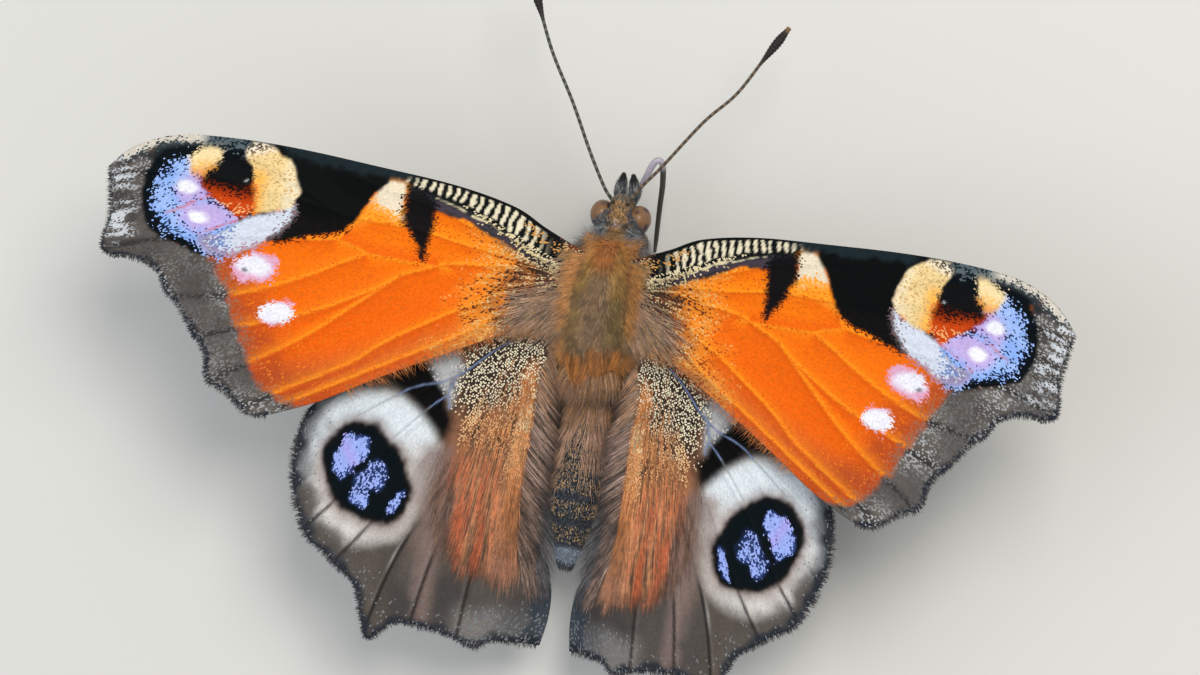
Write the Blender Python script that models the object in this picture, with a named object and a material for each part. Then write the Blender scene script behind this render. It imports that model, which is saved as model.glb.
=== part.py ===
# Peacock butterfly standing on its legs with the wings spread, life size.
# Metres, +Z up, head toward +Y, the floor at Z = 0 and the origin under the middle of the span.
# Every shape below is worked out in millimetres and turned into metres by put_mesh.
import math

import bmesh
import bpy
import numpy as np
from mathutils import Vector
from mathutils.geometry import delaunay_2d_cdt

# Whole animal, in millimetres, with y measured from the middle of the head
METRES_PER_MM = 0.001
HEAD_TO_ORIGIN = 8.03          # how far the middle of the length lies behind the head
ROOT_HEIGHT = 8.0              # the forewing's hinge above the floor
ROOT_OUT = 2.2                 # the hinges out from the midline
GAP = 0.3                      # air kept between neighbouring nodes

# Wings
WING_THICKNESS = 0.5
FORE_RISE = math.radians(14.0)
HIND_RISE = math.radians(12.0)
HIND_DROP = 1.05               # the hindwing's hinge below the forewing's
CAMBER = 0.35                  # how far the middle of a wing bows up
VEIN_RISE = 0.12
VEIN_HALF_WIDTH = 0.38
RIM_STEP = 1.25
VEIN_STEP = 1.7
SHEET_STEP = 2.3
FOLD_DROP = (1.0, 1.75)        # fall of the hindwing's inner fold, beside and behind the abdomen
FOLD_WIDTH = (0.9, 2.8)
FOLD_RANGE = (-14.0, -25.0)    # y where the fold starts to widen and where it is widest

# Body: each tube of flesh as its front y, back y, half width, rise above and fall below its axis
THORAX = dict(front=-1.95, back=-11.6, wide=2.8, up=2.85, down=2.75, axis=(6.2, 6.2))
ABDOMEN = dict(front=-10.4, back=-23.4, wide=1.78, up=1.75, down=1.7, axis=(5.75, 5.4))
HEAD = dict(front=0.5, back=-2.2, wide=1.12, up=1.2, down=1.15, axis=(5.65, 5.75))
SEGMENTS = 8
SEGMENT_GROOVE = 0.05
EYE_CENTRE = Vector((1.2, -0.75, 5.75))
EYE_RADII = Vector((0.78, 0.92, 1.05))

# Limbs
ANTENNA_RADIUS = 0.25
CLUB_RADIUS = 0.38
CLUB_LENGTH = 2.5
PROBOSCIS_RADIUS = 0.25
FOOT_AXIS = 0.2                # height of a lying foot's axis, below its radius, so that it has a flat

# Forewing rim in the wing's own sheet: out from the hinge, forward of the head's middle
FORE_FRONT = [(-0.6, -3.2), (1.9, -2.1), (4.0, -1.1), (7.7, -0.36), (12.7, 0.05), (17.4, 0.35),
              (21.2, 0.4), (24.8, 0.15), (26.8, -0.45), (28.3, -1.35), (29.4, -2.55)]
FORE_OUTER = [(29.0, -3.8), (28.8, -5.6), (29.1, -7.5), (28.5, -7.95), (27.1, -7.85), (25.5, -8.5),
              (24.7, -9.6), (23.7, -10.45), (22.75, -11.9), (21.7, -13.0), (21.3, -14.7),
              (19.95, -15.35), (18.5, -16.4)]
FORE_REAR = [(17.2, -16.45), (14.2, -15.1), (11.0, -13.2), (7.6, -11.3), (3.4, -9.1), (-0.6, -7.4)]

# Hindwing rim, without the inner margin, which follows the abdomen
HIND_FRONT = [(-0.4, -8.2), (1.2, -6.9), (3.2, -6.7), (6.0, -7.9), (9.6, -10.4), (13.0, -13.4), (15.0, -15.7)]
HIND_OUTER = [(15.4, -17.2), (15.5, -19.0), (15.3, -20.5), (14.7, -22.2), (13.9, -23.7), (12.7, -24.5),
              (11.7, -25.3), (10.5, -26.2), (9.9, -27.6), (9.2, -29.45), (8.5, -29.1), (7.8, -28.35),
              (6.5, -28.15), (4.7, -28.35), (3.1, -28.8), (2.2, -28.95), (1.5, -28.45), (0.2, -28.45)]
INNER_MARGIN = [(1.0, -28.5), (0.75, -26.9), (0.75, -25.3), (1.15, -24.2), (1.75, -22.8), (2.15, -21.0),
                (2.32, -18.0), (2.4, -14.0), (2.6, -11.0), (2.4, -9.4)]

# Main veins, root first
FORE_VEINS = [
    [(0.8, -4.2), (5.0, -3.2), (9.0, -1.9), (14.0, -0.8)],
    [(0.8, -4.4), (6.0, -4.0), (10.2, -3.4), (14.5, -3.2), (18.0, -1.6), (20.8, -0.6)],
    [(14.5, -3.2), (20.0, -2.4), (24.5, -2.2), (28.2, -2.8)],
    [(24.5, -2.2), (26.8, -1.5)],
    [(14.5, -3.2), (14.5, -4.8), (20.0, -5.5), (25.0, -6.4), (28.3, -7.3)],
    [(14.5, -4.8), (12.6, -5.4), (16.8, -7.8), (20.2, -9.1), (23.9, -9.8)],
    [(12.6, -5.4), (9.4, -5.6), (7.4, -5.4)],
    [(0.8, -4.7), (4.0, -4.9), (7.4, -5.4), (10.3, -6.5), (15.0, -9.6), (18.3, -10.8), (22.2, -12.3)],
    [(7.4, -5.4), (12.0, -9.2), (16.0, -11.9), (20.5, -14.6)],
    [(3.2, -5.0), (5.2, -7.1), (10.5, -10.7), (14.5, -13.6), (18.2, -15.6)],
    [(0.8, -5.6), (5.0, -8.3), (10.0, -11.6), (15.8, -15.3)],
]
HIND_VEINS = [
    [(0.6, -8.8), (3.0, -8.0), (8.0, -10.2), (12.5, -13.9), (14.6, -16.4)],
    [(0.9, -9.0), (3.4, -9.8), (5.0, -11.3), (6.9, -12.6), (9.5, -13.9), (12.2, -15.4), (15.0, -18.0)],
    [(6.9, -12.6), (10.4, -15.6), (13.2, -18.4), (15.0, -20.8)],
    [(5.9, -12.1), (6.4, -13.6), (9.6, -17.3), (12.0, -20.6), (14.0, -23.0)],
    [(6.4, -13.6), (6.1, -15.2), (8.3, -19.4), (10.4, -22.8), (11.8, -24.8)],
    [(6.1, -15.2), (4.9, -16.4), (6.6, -20.6), (8.2, -24.4), (9.3, -28.7)],
    [(0.8, -9.4), (3.0, -12.4), (4.9, -16.4), (5.4, -21.2), (6.1, -25.0), (6.6, -27.8)],
    [(3.0, -12.4), (3.0, -17.0), (3.2, -22.5), (3.6, -28.2)],
]

# Colours of the materials, as linear red, green and blue
FUR_BROWN = (0.16, 0.075, 0.025)
BLUE_BLACK = (0.02, 0.022, 0.03)
EYE_BROWN = (0.13, 0.045, 0.02)
ORANGE = (0.72, 0.16, 0.015)
RUST = (0.33, 0.07, 0.02)
LEG_BUFF = (0.16, 0.1, 0.06)
SHAFT_DARK = (0.05, 0.04, 0.035)
TONGUE_LILAC = (0.3, 0.28, 0.33)

for old in list(bpy.data.objects):
    bpy.data.objects.remove(old, do_unlink=True)


def paint(name, colour, roughness):
    """A Principled material of one plain colour."""
    material = bpy.data.materials.new(name)
    material.use_nodes = True
    shader = material.node_tree.nodes["Principled BSDF"]
    shader.inputs["Base Color"].default_value = (*colour, 1.0)
    shader.inputs["Roughness"].default_value = roughness
    shader.inputs["Metallic"].default_value = 0.0
    return material


def put_mesh(name, points, faces, material=None):
    """Make one object from millimetre points, its faces turned outward."""
    mesh = bpy.data.meshes.new(name)
    shifted = [((p[0]) * METRES_PER_MM, (p[1] + HEAD_TO_ORIGIN) * METRES_PER_MM, p[2] * METRES_PER_MM)
               for p in points]
    mesh.from_pydata(shifted, [], faces)
    tool = bmesh.new()
    tool.from_mesh(mesh)
    bmesh.ops.triangulate(tool, faces=tool.faces[:])
    bmesh.ops.recalc_face_normals(tool, faces=tool.faces[:])
    tool.to_mesh(mesh)
    tool.free()
    thing = bpy.data.objects.new(name, mesh)
    bpy.context.collection.objects.link(thing)
    if material:
        mesh.materials.append(material)
    return thing


def spline(points, step):
    """Catmull-Rom curve through the points, each stretch cut into pieces of about one step."""
    points = [np.array(p, float) for p in points]
    padded = [2 * points[0] - points[1]] + points + [2 * points[-1] - points[-2]]
    out = [points[0]]
    for a, b, c, d in zip(padded, padded[1:], padded[2:], padded[3:]):
        count = max(1, round(float(np.linalg.norm(c - b)) / step))
        for k in range(1, count + 1):
            t = k / count
            out.append(0.5 * (2 * b + (c - a) * t + (2 * a - 5 * b + 4 * c - d) * t ** 2
                              + (3 * b - a - 3 * c + d) * t ** 3))
    return out


def ease(t):
    """Smooth step from 0 to 1."""
    t = min(max(t, 0.0), 1.0)
    return t * t * (3 - 2 * t)


def cut(thing, cutter):
    """Leave out of a node what lies within the gap of its neighbour."""
    modifier = thing.modifiers.new("clear_" + cutter.name, "BOOLEAN")
    modifier.operation = "DIFFERENCE"
    modifier.object = cutter


def tube(name, path, radii, sides, material):
    """A closed limb along a path, with one radius for each of the path's points and round-cut ends."""
    path = [Vector(p) for p in path]
    points = []
    faces = []
    side_way = Vector((0, 0, 1))
    for i, centre in enumerate(path):
        ahead = path[min(i + 1, len(path) - 1)] - path[max(i - 1, 0)]
        across = ahead.cross(side_way).normalized()
        side_way = across.cross(ahead).normalized()
        for k in range(sides):
            angle = 2 * math.pi * (k + 0.5) / sides
            point = centre + radii[i] * (math.cos(angle) * across + math.sin(angle) * side_way)
            points.append((point.x, point.y, max(point.z, 0.0)))
    for i in range(len(path) - 1):
        for k in range(sides):
            near = i * sides + k
            far = i * sides + (k + 1) % sides
            faces.append((near, far, far + sides, near + sides))
    faces.append(tuple(range(sides - 1, -1, -1)))
    faces.append(tuple(range(len(points) - sides, len(points))))
    return put_mesh(name, points, faces, material)


def body(name, size, shape, rings, sides, material=None, grow=0.0):
    """Flesh round a level axis along y; shape(s) gives the share of each half size at s from 0 to 1."""
    front = size["front"] + grow
    back = size["back"] - grow
    points = [(0.0, front, size["axis"][0])]
    for i in range(1, rings):
        s = 0.5 - 0.5 * math.cos(math.pi * i / rings)
        share = shape(s)
        axis = size["axis"][0] + (size["axis"][1] - size["axis"][0]) * s
        for k in range(sides):
            angle = 2 * math.pi * k / sides
            rise = size["up"] if math.sin(angle) > 0 else size["down"]
            points.append(((size["wide"] * share + grow) * math.cos(angle), front + (back - front) * s,
                           axis + (rise * share + grow) * math.sin(angle)))
    points.append((0.0, back, size["axis"][1]))
    faces = []
    for k in range(sides):
        after = (k + 1) % sides
        faces.append((0, 1 + k, 1 + after))
        for i in range(rings - 2):
            near = 1 + i * sides
            faces.append((near + k, near + sides + k, near + sides + after, near + after))
        last = 1 + (rings - 2) * sides
        faces.append((last + k, len(points) - 1, last + after))
    return put_mesh(name, points, faces, material)


def hide(cutter):
    """A cutting shape shows as wires and is no node."""
    cutter.hide_render = True
    cutter.display_type = "WIRE"
    return cutter


# Thorax, head and abdomen
def thorax_share(s):
    return (1 - abs(2 * s - 1) ** 2.5) ** (1 / 2.3)


def head_share(s):
    return (1 - abs(2 * s - 1) ** 2.2) ** (1 / 2.2)


def abdomen_share(s):
    """Blunt tail, slimmer toward both ends, and a shallow groove between segments."""
    smooth = (1 - abs(2 * s - 1) ** 3.4) ** (1 / 2.4)
    slim = 1 - 0.34 * ease((s - 0.55) / 0.42) - 0.12 * ease((0.5 - s) / 0.5)
    groove = SEGMENT_GROOVE * (0.5 + 0.5 * math.cos(2 * math.pi * SEGMENTS * s)) ** 3
    return smooth * slim * (1 - groove)


fur = paint("brown_fur", FUR_BROWN, 0.9)
belly = paint("blue_black_scales", BLUE_BLACK, 0.6)
body("thorax", THORAX, thorax_share, 14, 24, fur)
thorax_room = hide(body("thorax_room", THORAX, thorax_share, 14, 24, grow=GAP))
head = body("head", HEAD, head_share, 12, 20, fur)
head_room = hide(body("head_room", HEAD, head_share, 12, 20, grow=GAP))
abdomen = body("abdomen", ABDOMEN, abdomen_share, 32, 20, belly)
cut(head, thorax_room)
cut(abdomen, thorax_room)

# Eyes, each a bulging dome at the side of the head
eye_brown = paint("eye_brown", EYE_BROWN, 0.3)
for side, word in ((-1, "left"), (1, "right")):
    points = []
    faces = []
    ball = bmesh.new()
    bmesh.ops.create_uvsphere(ball, u_segments=16, v_segments=10, radius=1.0)
    for vertex in ball.verts:
        points.append((side * (EYE_CENTRE.x + EYE_RADII.x * vertex.co.z),
                       EYE_CENTRE.y + EYE_RADII.y * vertex.co.y,
                       EYE_CENTRE.z + EYE_RADII.z * vertex.co.x))
    for face in ball.faces:
        faces.append([vertex.index for vertex in face.verts])
    ball.free()
    eye = put_mesh("eye_" + word, points, faces, eye_brown)
    cut(eye, head_room)
    cut(eye, thorax_room)

# Palps: two furry points in front of the mouth
for side, word in ((-1, "left"), (1, "right")):
    route = spline([(side * 0.4, -0.1, 4.95), (side * 0.46, 0.7, 4.95), (side * 0.44, 1.3, 5.1),
                    (side * 0.385, 1.9, 5.4)], 0.3)
    width = [0.3 + 0.08 * math.sin(math.pi * min(i / len(route) * 1.5, 1.0)) - 0.18 * ease(i / len(route) * 2 - 0.9)
             for i in range(len(route))]
    palp = tube("palp_" + word, route, width, 10, fur)
    cut(palp, head_room)

# Antennae: a thin shaft that widens to a club
shaft = paint("antenna_dark", SHAFT_DARK, 0.6)
LEFT_ANTENNA = [(-0.4, 0.0, 6.3), (-0.6, 0.35, 6.75), (-1.1, 1.0, 7.0), (-2.3, 3.0, 7.15), (-3.9, 5.9, 7.2),
                (-5.7, 8.75, 7.1), (-7.0, 11.35, 6.9), (-7.9, 13.3, 6.75)]
RIGHT_ANTENNA = [(0.4, 0.0, 6.3), (0.65, 0.45, 6.75), (1.25, 1.35, 7.0), (2.4, 2.85, 7.15), (4.55, 6.0, 7.2),
                 (6.3, 8.05, 7.1), (7.6, 10.4, 6.9), (8.9, 12.7, 6.75)]
for route, word in ((LEFT_ANTENNA, "left"), (RIGHT_ANTENNA, "right")):
    route = spline(route, 0.9)
    tip = route[-1]
    width = []
    for point in route:
        from_tip = float(np.linalg.norm(point - tip)) / CLUB_LENGTH
        swell = ease((1.0 - from_tip) / 0.6) * (1 - 0.45 * ease((0.3 - from_tip) / 0.3))
        width.append(ANTENNA_RADIUS + (CLUB_RADIUS - ANTENNA_RADIUS) * swell)
    antenna = tube("antenna_" + word, route, width, 8, shaft)
    cut(antenna, head_room)

# Proboscis: out between the palps, over a knee and down to just above the floor
PROBOSCIS = [(0.0, 0.1, 4.4), (0.25, 0.75, 4.1), (0.75, 1.5, 4.25), (1.3, 2.7, 4.95), (1.66, 3.1, 5.15),
             (1.92, 2.85, 4.8), (1.95, 1.65, 4.0), (1.8, 0.05, 3.0), (1.62, -1.7, 1.75), (1.47, -2.9, 0.75)]
route = spline(PROBOSCIS, 0.6)
proboscis = tube("proboscis", route, [PROBOSCIS_RADIUS] * (len(route) - 1) + [0.12], 8,
                 paint("tongue_lilac", TONGUE_LILAC, 0.4))
cut(proboscis, head_room)


# Legs: a hip in the chest, a thigh out and up to the knee, a shin down and a foot along the floor
leg_buff = paint("leg_buff", LEG_BUFF, 0.7)


def leg(name, side, hip, bend, knee, ankle, toe):
    """The stretches are straight between the named joints, with the corners eased."""
    joints = [Vector((side * p[0], p[1], p[2])) for p in (hip, bend, knee, ankle, toe)]
    reach = (0.42, 0.4, 0.34, 0.27, 0.2)
    route = []
    width = []
    for i in range(len(joints) - 1):
        for t in ((0.0, 0.25, 0.75) if i else (0.0, 0.7)):
            route.append(joints[i].lerp(joints[i + 1], t))
            width.append(reach[i] + (reach[i + 1] - reach[i]) * t)
    route.append(joints[-1])
    width.append(reach[-1])
    limb = tube(name, route, width, 8, leg_buff)
    cut(limb, thorax_room)


for side, word in ((-1, "left"), (1, "right")):
    leg("midleg_" + word, side, (1.0, -5.4, 4.6), (1.7, -5.2, 3.0), (5.2, -4.4, 4.9), (6.9, -3.9, FOOT_AXIS),
        (9.3, -2.4, FOOT_AXIS))
    leg("hindleg_" + word, side, (1.0, -8.4, 4.6), (1.7, -8.9, 3.0), (4.7, -11.0, 4.9),
        (6.3, -14.4, FOOT_AXIS), (7.6, -17.1, FOOT_AXIS))
    brush = spline([(side * 0.8, -3.9, 4.4), (side * 1.1, -3.4, 3.1), (side * 1.2, -2.4, 3.1),
                    (side * 0.95, -1.7, 3.6)], 0.7)
    foreleg = tube("foreleg_" + word, brush, [0.4 - 0.16 * i / (len(brush) - 1) for i in range(len(brush))], 8,
                   fur)
    cut(foreleg, thorax_room)


# Wings
def fore_sheet(side, x, y):
    """Middle surface of a forewing at x out along it and y forward."""
    bow = CAMBER * math.sin(math.pi * min(max(x / 29.0, 0.0), 1.0))
    return Vector((side * (ROOT_OUT + x * math.cos(FORE_RISE)), y, ROOT_HEIGHT + x * math.sin(FORE_RISE) + bow))


def margin_out(y):
    """How far the hindwing's inner margin keeps from the midline."""
    ys = [p[1] for p in INNER_MARGIN]
    return float(np.interp(y, ys, [p[0] for p in INNER_MARGIN]))


def hind_sheet(side, x, y):
    """Middle surface of a hindwing, whose inner part falls away along the abdomen."""
    out = ROOT_OUT + x * math.cos(HIND_RISE)
    back = ease((y - FOLD_RANGE[0]) / (FOLD_RANGE[1] - FOLD_RANGE[0]))
    width = FOLD_WIDTH[0] + (FOLD_WIDTH[1] - FOLD_WIDTH[0]) * back
    drop = FOLD_DROP[0] + (FOLD_DROP[1] - FOLD_DROP[0]) * back
    fall = drop * ease((margin_out(y) + width - out) / width) * ease((-9.0 - y) / 3.0)
    bow = CAMBER * math.sin(math.pi * min(max(x / 15.5, 0.0), 1.0))
    return Vector((side * out, y, ROOT_HEIGHT - HIND_DROP + x * math.sin(HIND_RISE) + bow - fall))


def wing(name, side, sheet, rim, veins, material):
    """A thin vane split alike on both faces, with each vein raised from it."""
    flat = [np.array(p) for p in rim]
    edges = [(i, (i + 1) % len(rim)) for i in range(len(rim))]
    rim_line = np.array(rim + [rim[0]])

    def rim_distance(point):
        """Distance from the rim, below 0 outside it."""
        start = rim_line[:-1]
        run = rim_line[1:] - start
        t = np.clip(((point - start) * run).sum(1) / (run ** 2).sum(1), 0, 1)
        near = np.linalg.norm(start + run * t[:, None] - point, axis=1).min()
        crossing = (start[:, 1] > point[1]) != (rim_line[1:, 1] > point[1])
        with np.errstate(divide="ignore", invalid="ignore"):
            where = start[:, 0] + (point[1] - start[:, 1]) * run[:, 0] / run[:, 1]
        inside = int((crossing & (where > point[0])).sum()) % 2 == 1
        return near if inside else -near

    crests = [spline(vein, VEIN_STEP) for vein in veins]
    crests = [[p for p in crest if rim_distance(p) > VEIN_HALF_WIDTH] for crest in crests]
    starts = np.array([a for crest in crests for a in crest[:-1]])
    ends = np.array([b for crest in crests for b in crest[1:]])

    def crest_distance(point):
        run = ends - starts
        t = np.clip(((point - starts) * run).sum(1) / (run ** 2).sum(1), 0, 1)
        return np.linalg.norm(starts + run * t[:, None] - point, axis=1).min()

    def spot(point, room):
        """Index of the point, or of a point that already lies within the room."""
        distances = np.linalg.norm(np.array(flat) - point, axis=1)
        nearest = int(distances.argmin())
        if distances[nearest] < room:
            return nearest
        flat.append(np.array(point))
        return len(flat) - 1

    for crest in crests:
        line = [spot(p, VEIN_HALF_WIDTH) for p in crest]
        edges += [(a, b) for a, b in zip(line, line[1:]) if a != b]
    for crest in crests:
        for i, centre in enumerate(crest):
            ahead = crest[min(i + 1, len(crest) - 1)] - crest[max(i - 1, 0)]
            across = np.array((-ahead[1], ahead[0])) / np.linalg.norm(ahead)
            for way in (-1, 1):
                foot = centre + way * VEIN_HALF_WIDTH * across
                if rim_distance(foot) > 0.3 and crest_distance(foot) > 0.8 * VEIN_HALF_WIDTH:
                    spot(foot, 0.3)
    row = 0
    corner = rim_line.min(0)
    size = rim_line.max(0) - corner
    while row * SHEET_STEP * 0.87 < size[1]:
        for column in range(int(size[0] / SHEET_STEP) + 1):
            point = corner + np.array(((column + 0.5 * (row % 2)) * SHEET_STEP, row * SHEET_STEP * 0.87))
            if rim_distance(point) > 0.7:
                spot(point, 0.45 * SHEET_STEP)
        row += 1
    result = delaunay_2d_cdt([Vector(p) for p in flat], edges, [], 1, 1e-5)
    spots, triangles = result[0], result[2]
    upper = []
    lower = []
    for p in spots:
        step = 0.05
        along = sheet(side, p.x + step, p.y) - sheet(side, p.x - step, p.y)
        ahead = sheet(side, p.x, p.y + step) - sheet(side, p.x, p.y - step)
        normal = (along.cross(ahead) * side).normalized()
        rise = VEIN_RISE * max(0.0, 1 - crest_distance(np.array(p)) / VEIN_HALF_WIDTH)
        upper.append(sheet(side, p.x, p.y) + normal * (WING_THICKNESS / 2 + rise))
        lower.append(sheet(side, p.x, p.y) - normal * (WING_THICKNESS / 2 + rise))
    count = len(spots)
    faces = [tuple(t) for t in triangles]
    faces += [tuple(i + count for i in reversed(t)) for t in triangles]
    ways = {(t[i], t[(i + 1) % 3]) for t in triangles for i in range(3)}
    for a, b in ways:
        if (b, a) not in ways:
            faces.append((b, a, a + count))
            faces.append((b, a + count, b + count))
    return put_mesh(name, upper + lower, faces, material)


def hind_rim():
    """The hindwing's rim, closed along the inner margin."""
    inner = [((out - ROOT_OUT) / math.cos(HIND_RISE), y) for out, y in INNER_MARGIN]
    return spline(HIND_FRONT, RIM_STEP) + spline(HIND_OUTER, RIM_STEP) + spline(inner, RIM_STEP)


fore_rim = spline(FORE_FRONT + FORE_OUTER + FORE_REAR, RIM_STEP)
orange = paint("orange_scales", ORANGE, 0.7)
rust = paint("rust_scales", RUST, 0.7)
for side, word in ((-1, "left"), (1, "right")):
    forewing = wing("forewing_" + word, side, fore_sheet, [tuple(p) for p in fore_rim], FORE_VEINS, orange)
    cut(forewing, thorax_room)
    hindwing = wing("hindwing_" + word, side, hind_sheet, [tuple(p) for p in hind_rim()], HIND_VEINS, rust)
    cut(hindwing, thorax_room)
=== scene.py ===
import bpy
import numpy as np
from mathutils import Matrix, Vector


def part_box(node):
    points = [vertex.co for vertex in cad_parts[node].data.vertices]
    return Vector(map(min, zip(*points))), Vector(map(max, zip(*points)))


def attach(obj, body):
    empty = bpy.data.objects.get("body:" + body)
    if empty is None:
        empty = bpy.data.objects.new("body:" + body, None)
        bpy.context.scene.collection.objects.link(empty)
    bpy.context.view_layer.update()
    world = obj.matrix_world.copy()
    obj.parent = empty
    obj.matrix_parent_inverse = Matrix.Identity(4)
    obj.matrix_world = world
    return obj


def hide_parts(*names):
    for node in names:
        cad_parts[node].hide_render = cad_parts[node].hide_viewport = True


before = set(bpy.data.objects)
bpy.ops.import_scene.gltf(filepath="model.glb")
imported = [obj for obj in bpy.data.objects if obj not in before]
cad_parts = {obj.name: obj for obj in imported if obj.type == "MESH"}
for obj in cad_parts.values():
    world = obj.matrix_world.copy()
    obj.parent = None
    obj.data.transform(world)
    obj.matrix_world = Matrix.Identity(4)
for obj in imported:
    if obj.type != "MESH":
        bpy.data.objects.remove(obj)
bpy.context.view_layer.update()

# Forewings
# Each is a thin membrane of chitin held out by hollow veins, tiled on both faces with overlapping scales that
# carry all the colour. It grows from the side of the thorax, and a fringe of hair scales edges it.
MM = 0.001
HEAD_FRONT = 0.5               # the head's front, ahead of its middle
HEAD_TO_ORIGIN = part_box("head")[1].y / MM - HEAD_FRONT
ROOT_HEIGHT = 8.0              # the forewing's hinge above the floor
ROOT_OUT = 2.2                 # the hinges out from the midline
FORE_RISE = np.radians(14.0)
FORE_SPAN = 29.0
CAMBER = 0.35                  # how far the middle of a wing bows up
WING_THICKNESS = 0.12          # membrane and scales of both faces
VEIN_HEIGHT = 0.09
VEIN_WIDTH = 0.15
SAG = 0.16                     # how far the membrane hangs between the veins
SAG_REACH = 1.1
GRID = (291, 131)              # points out along the wing and across it, both odd

FORE_FRONT = [(-1.1, -3.45), (-0.3, -3.05), (1.9, -2.1), (4.0, -1.1), (7.7, -0.36), (12.7, 0.05), (17.4, 0.35),
              (21.2, 0.4), (24.8, 0.15), (26.8, -0.45), (28.3, -1.35), (29.4, -2.55)]
FORE_OUTER = [(29.4, -2.55), (29.0, -3.8), (28.8, -5.6), (29.1, -7.5), (28.5, -7.95), (27.1, -7.85),
              (25.5, -8.5), (24.7, -9.6), (23.7, -10.45), (22.75, -11.9), (21.7, -13.0), (21.3, -14.7),
              (19.95, -15.35), (18.5, -16.4), (17.2, -16.45)]
FORE_REAR = [(17.2, -16.45), (14.2, -15.1), (11.0, -13.2), (7.6, -11.3), (3.4, -9.1), (-1.1, -7.2)]
FORE_ROOT = [(-1.1, -7.2), (-1.1, -5.3), (-1.1, -3.45)]
FORE_VEINS = [
    [(0.8, -4.2), (5.0, -3.2), (9.0, -1.9), (14.0, -0.8)],
    [(0.8, -4.4), (6.0, -4.0), (10.2, -3.4), (14.5, -3.2), (18.0, -1.6), (20.8, -0.6)],
    [(14.5, -3.2), (20.0, -2.4), (24.5, -2.2), (28.6, -2.9)],
    [(24.5, -2.2), (26.8, -1.5), (28.2, -1.5)],
    [(14.5, -3.2), (14.5, -4.8), (20.0, -5.5), (25.0, -6.4), (28.6, -7.5)],
    [(14.5, -4.8), (12.6, -5.4), (14.1, -6.3), (16.8, -7.8), (20.2, -9.2), (24.5, -10.0)],
    [(12.6, -5.4), (9.4, -5.5), (7.4, -5.5)],
    [(1.1, -4.6), (5.0, -5.0), (7.4, -5.3), (8.7, -5.8), (10.3, -6.5), (11.5, -7.4), (15.0, -9.4),
     (18.3, -10.7), (22.8, -12.4)],
    [(10.3, -6.5), (12.4, -8.4), (16.0, -11.5), (21.2, -14.9)],
    [(3.2, -6.0), (4.7, -7.1), (7.0, -8.4), (10.5, -10.7), (12.4, -12.3), (15.7, -14.3), (18.4, -15.9)],
    [(0.8, -5.8), (5.0, -8.9), (10.0, -11.9), (16.4, -15.7)],
]


def linear(code):
    """An sRGB hex colour in linear light: c / 12.92 when dark, else ((c + 0.055) / 1.055) to the power 2.4."""
    c = np.array([int(code[i:i + 2], 16) for i in (0, 2, 4)]) / 255.0
    return np.where(c <= 0.04045, c / 12.92, ((c + 0.055) / 1.055) ** 2.4)


def ease(t):
    """Smooth step from 0 to 1: 3 t squared less 2 t cubed."""
    t = np.clip(t, 0.0, 1.0)
    return t * t * (3 - 2 * t)


def curve(points, count, closed=False):
    """Catmull-Rom curve through the points, given back as points evenly spaced along it."""
    p = np.array(points, float)
    if closed:
        p = np.vstack([p, p[:1]])
        ends = p[-2:-1], p[1:2]
    else:
        ends = 2 * p[:1] - p[1:2], 2 * p[-1:] - p[-2:-1]
    q = np.vstack([ends[0], p, ends[1]])
    a, b, c, d = q[:-3], q[1:-2], q[2:-1], q[3:]
    t = np.linspace(0, 1, 12, endpoint=False)[:, None, None]
    path = 0.5 * (2 * b + (c - a) * t + (2 * a - 5 * b + 4 * c - d) * t ** 2 + (3 * b - a - 3 * c + d) * t ** 3)
    path = np.vstack([path.transpose(1, 0, 2).reshape(-1, p.shape[1]), p[-1:]])
    run = np.concatenate([[0], np.cumsum(np.linalg.norm(np.diff(path, axis=0), axis=1))])
    at = np.linspace(0, run[-1], count)
    return np.stack([np.interp(at, run, path[:, k]) for k in range(p.shape[1])], 1)


def noise(place, seed=0):
    """Smooth noise from -1 to 1: hashed values at the whole-number corners, blended by the ease curve."""
    base = np.floor(place)
    t = ease(place - base)
    base = base.astype(np.int64)
    total = np.zeros(len(place))
    for corner in np.ndindex(*(2,) * place.shape[1]):
        key = (base + corner) @ np.array([73856093, 19349663, 83492791])[:place.shape[1]] + seed * 40503
        key = ((key ^ (key >> 13)) * 1274126177) & 0x7fffffff
        key = (key ^ (key >> 15)) & 0xffff
        total += np.prod(np.where(corner, t, 1 - t), axis=1) * (key / 32767.5 - 1)
    return total


def depth_in(spot, outline, reach=2.0):
    """How far inside a smooth closed outline each spot lies, below 0 outside it, held at the reach beyond."""
    ring = curve(outline, 8 * len(outline), closed=True)
    start = ring[:-1]
    run = np.diff(ring, axis=0)
    depth = np.full(len(spot), -reach)
    close = ((spot > ring.min(0) - reach) & (spot < ring.max(0) + reach)).all(1)
    near = spot[close][:, None]
    gap = near - start
    t = np.clip((gap * run).sum(2) / (run ** 2).sum(1), 0, 1)
    away = np.sqrt(((gap - t[..., None] * run) ** 2).sum(2).min(1))
    crossing = (start[:, 1] > near[..., 1]) != (start[:, 1] + run[:, 1] > near[..., 1])
    slope = run[:, 0] / np.where(run[:, 1] == 0, 1e-9, run[:, 1])
    where = start[:, 0] + gap[..., 1] * slope
    inside = (crossing & (where > near[..., 0])).sum(1) % 2 == 1
    depth[close] = np.where(inside, away, -away)
    return np.maximum(depth, -reach)


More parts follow.
